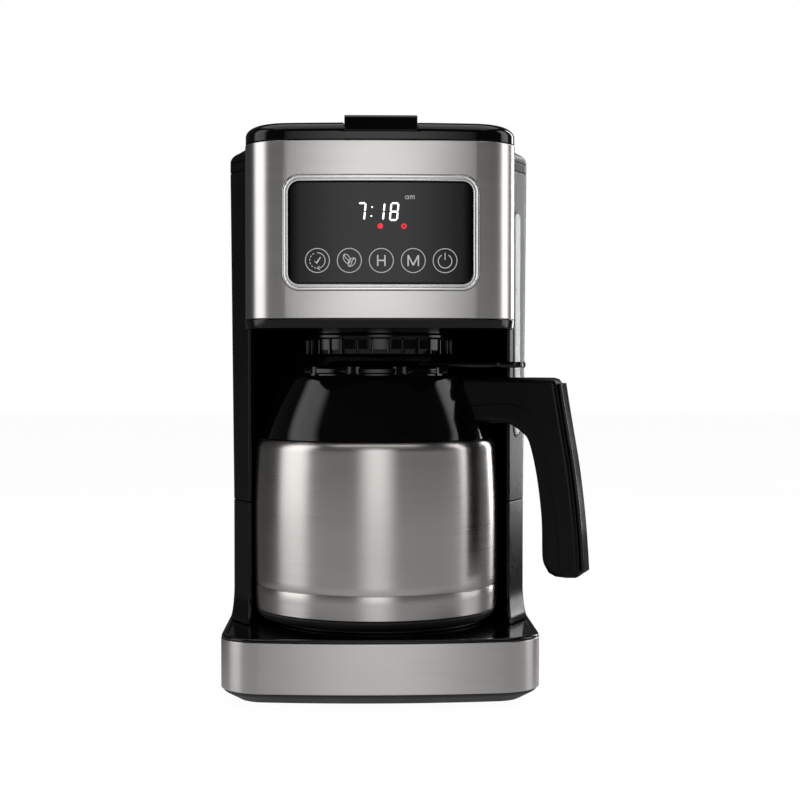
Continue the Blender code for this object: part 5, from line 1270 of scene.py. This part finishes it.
def repeat_tree(name, kind):
    """A tree that sets copies of the piece's own mesh round a ring, along a line or on a grid."""
    tree = bpy.data.node_groups.new(name, "GeometryNodeTree")
    face = tree.interface
    face.new_socket("Part", in_out="INPUT", socket_type="NodeSocketGeometry")
    inputs = {"ring": (("Count", "Int"), ("Radius", "Float")), "row": (("Count", "Int"), ("Step", "Vector")),
              "grid": (("Across", "Float"), ("Along", "Float"))}[kind]
    for label, form in inputs:
        face.new_socket(label, in_out="INPUT", socket_type="NodeSocket" + form)
    face.new_socket("Place", in_out="INPUT", socket_type="NodeSocketVector")
    face.new_socket("Finish", in_out="INPUT", socket_type="NodeSocketMaterial")
    face.new_socket("Result", in_out="OUTPUT", socket_type="NodeSocketGeometry")
    given = add_node(tree, "NodeGroupInput").outputs
    if kind == "ring":
        spots = add_node(tree, "GeometryNodeMeshCircle",
                         [("Vertices", given["Count"]), ("Radius", given["Radius"])])
    elif kind == "row":
        spots = add_node(tree, "GeometryNodeMeshLine", [("Count", given["Count"]), ("Offset", given["Step"])])
    else:
        spots = add_node(tree, "GeometryNodeMeshGrid",
                         [("Size X", given["Across"]), ("Size Y", given["Along"])],
                         Vertices_X=2, Vertices_Y=2)
    links = [("Points", spots.outputs[0]), ("Instance", given["Part"])]
    if kind == "ring":
        position = add_node(tree, "GeometryNodeInputPosition")
        aim = add_node(tree, "FunctionNodeAlignRotationToVector", [("Vector", position.outputs[0])], axis="X")
        links.append(("Rotation", aim.outputs[0]))
    copies = add_node(tree, "GeometryNodeInstanceOnPoints", links)
    moved = add_node(tree, "GeometryNodeTransform",
                     [("Geometry", copies.outputs[0]), ("Translation", given["Place"])])
    real = add_node(tree, "GeometryNodeRealizeInstances", [("Geometry", moved.outputs[0])])
    painted = add_node(tree, "GeometryNodeSetMaterial",
                       [("Geometry", real.outputs[0]), ("Material", given["Finish"])])
    add_node(tree, "NodeGroupOutput", [("Result", painted.outputs[0])])
    return tree


TREES = {kind: repeat_tree("parts_in_a_" + kind, kind) for kind in ("ring", "row", "grid")}


def repeated(piece, kind, look, place, **values):
    """Run a piece's mesh through a repeating tree and keep the result as its mesh."""
    step = piece.modifiers.new("copies", "NODES")
    tree = TREES[kind]
    step.node_group = tree
    named = {item.name: item.identifier for item in tree.interface.items_tree if item.in_out == "INPUT"}
    step[named["Finish"]] = LOOKS[look]
    step[named["Place"]] = [v * MM for v in place]
    for key, value in values.items():
        if isinstance(value, (list, tuple)):
            value = [v * MM for v in value]
        elif isinstance(value, float):
            value = value * MM
        step[named[key]] = value
    return applied(piece)


def repeats():
    middle, turned_face = slanted_face(WINDOW_MIDDLE)
    mark = block("water_marks", (-2.6, -0.84, -0.45), (1.4, -0.3, 0.45))
    mark.data.transform(turned_face)
    repeated(mark, "row", "white_print", (*middle, 197.2), Count=3, Step=(0, 0, 25.5))
    worn(mark, "white_print", "machine", ())
    rib = eased(block("stopper_ribs", (5.2, -0.7, 208.5), (6.1, 0.7, 216.5)), 0.3, 2)
    rib.data.transform(Matrix.Translation((-5.7 * MM, 0, 0)))
    y = (span("drip_plunger")[0][1] + span("drip_plunger")[1][1]) / 2
    repeated(rib, "ring", "sparked_polypropylene", (0, y, 0), Count=12, Radius=5.7)
    worn(rib, "sparked_polypropylene", "drip_stop", ())
    rib = eased(block("funnel_ribs", (-0.2, -0.8, 208.6), (1.3, 0.8, 217.6)), 0.4, 2)
    repeated(rib, "ring", "polished_abs", (0, y, 0), Count=30, Radius=45.4)
    worn(rib, "polished_abs", "funnel", ())
    profile = [(0, 2.5), (1.4, 2.5), (1.4, 2.1), (2.7, 2.1), (3.3, 2.4), (3.5, 3.1), (1.6, 3.1), (1.6, 14.1),
               (0, 14.1)]
    screw = turned("base_screws", profile, 0, 0, 24)
    repeated(screw, "grid", "zinc_plate", (0, 0, 0), Across=99.2, Along=154.0)
    nodes = ["base_screw_" + spot for spot in ("front_left", "front_right", "rear_left", "rear_right")]
    worn(screw, "zinc_plate", "machine", nodes)
    strand = block("filter_ribs", (-1.5, -0.6, 242.4), (0.5, 0.6, 314.5))
    for vert in strand.data.vertices:
        if vert.co.z > 0.3:
            vert.co.x += 9.4 * MM  # the basket widens upwards
    repeated(strand, "ring", "filter_nylon", (0, y, 0), Count=24, Radius=40.2)
    worn(strand, "filter_nylon", "filter", ())


# ------------------------------------------------------------ the frame's own nodes

NODE_LOOKS = {
    "nitrile_rubber": ["foot_front_left", "foot_front_right", "foot_rear_left", "foot_rear_right",
                       "cable_gland"],
    "solder_mask": ["power_board", "display_board"],
    "clear_san": ["water_tank"],
    "milky_silicone": ["tank_valve", "cold_hose", "riser_tube", "lid_gasket", "pour_valve"],
    "cast_aluminium": ["heater"],
    "zinc_plate": ["thermostat", "thermal_fuse"],
    "sparked_polypropylene": ["head_housing", "shower_head"],
    "drawn_stainless": ["lid_hinge_pin", "lever_pin", "handle_screw"],
    "spun_stainless": ["carafe_liner"],
}


def dress_nodes():
    for look, names in NODE_LOOKS.items():
        for name in names:
            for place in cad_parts[name].material_slots:
                place.material = LOOKS[look]


base()
tower_shells()
tower_top()
water_window()
head()
digits()
touch_signs()
lid()
brewing()
springs()
carafe_body()
carafe_neck()
carafe_handle()
carafe_top()
repeats()
dress_nodes()
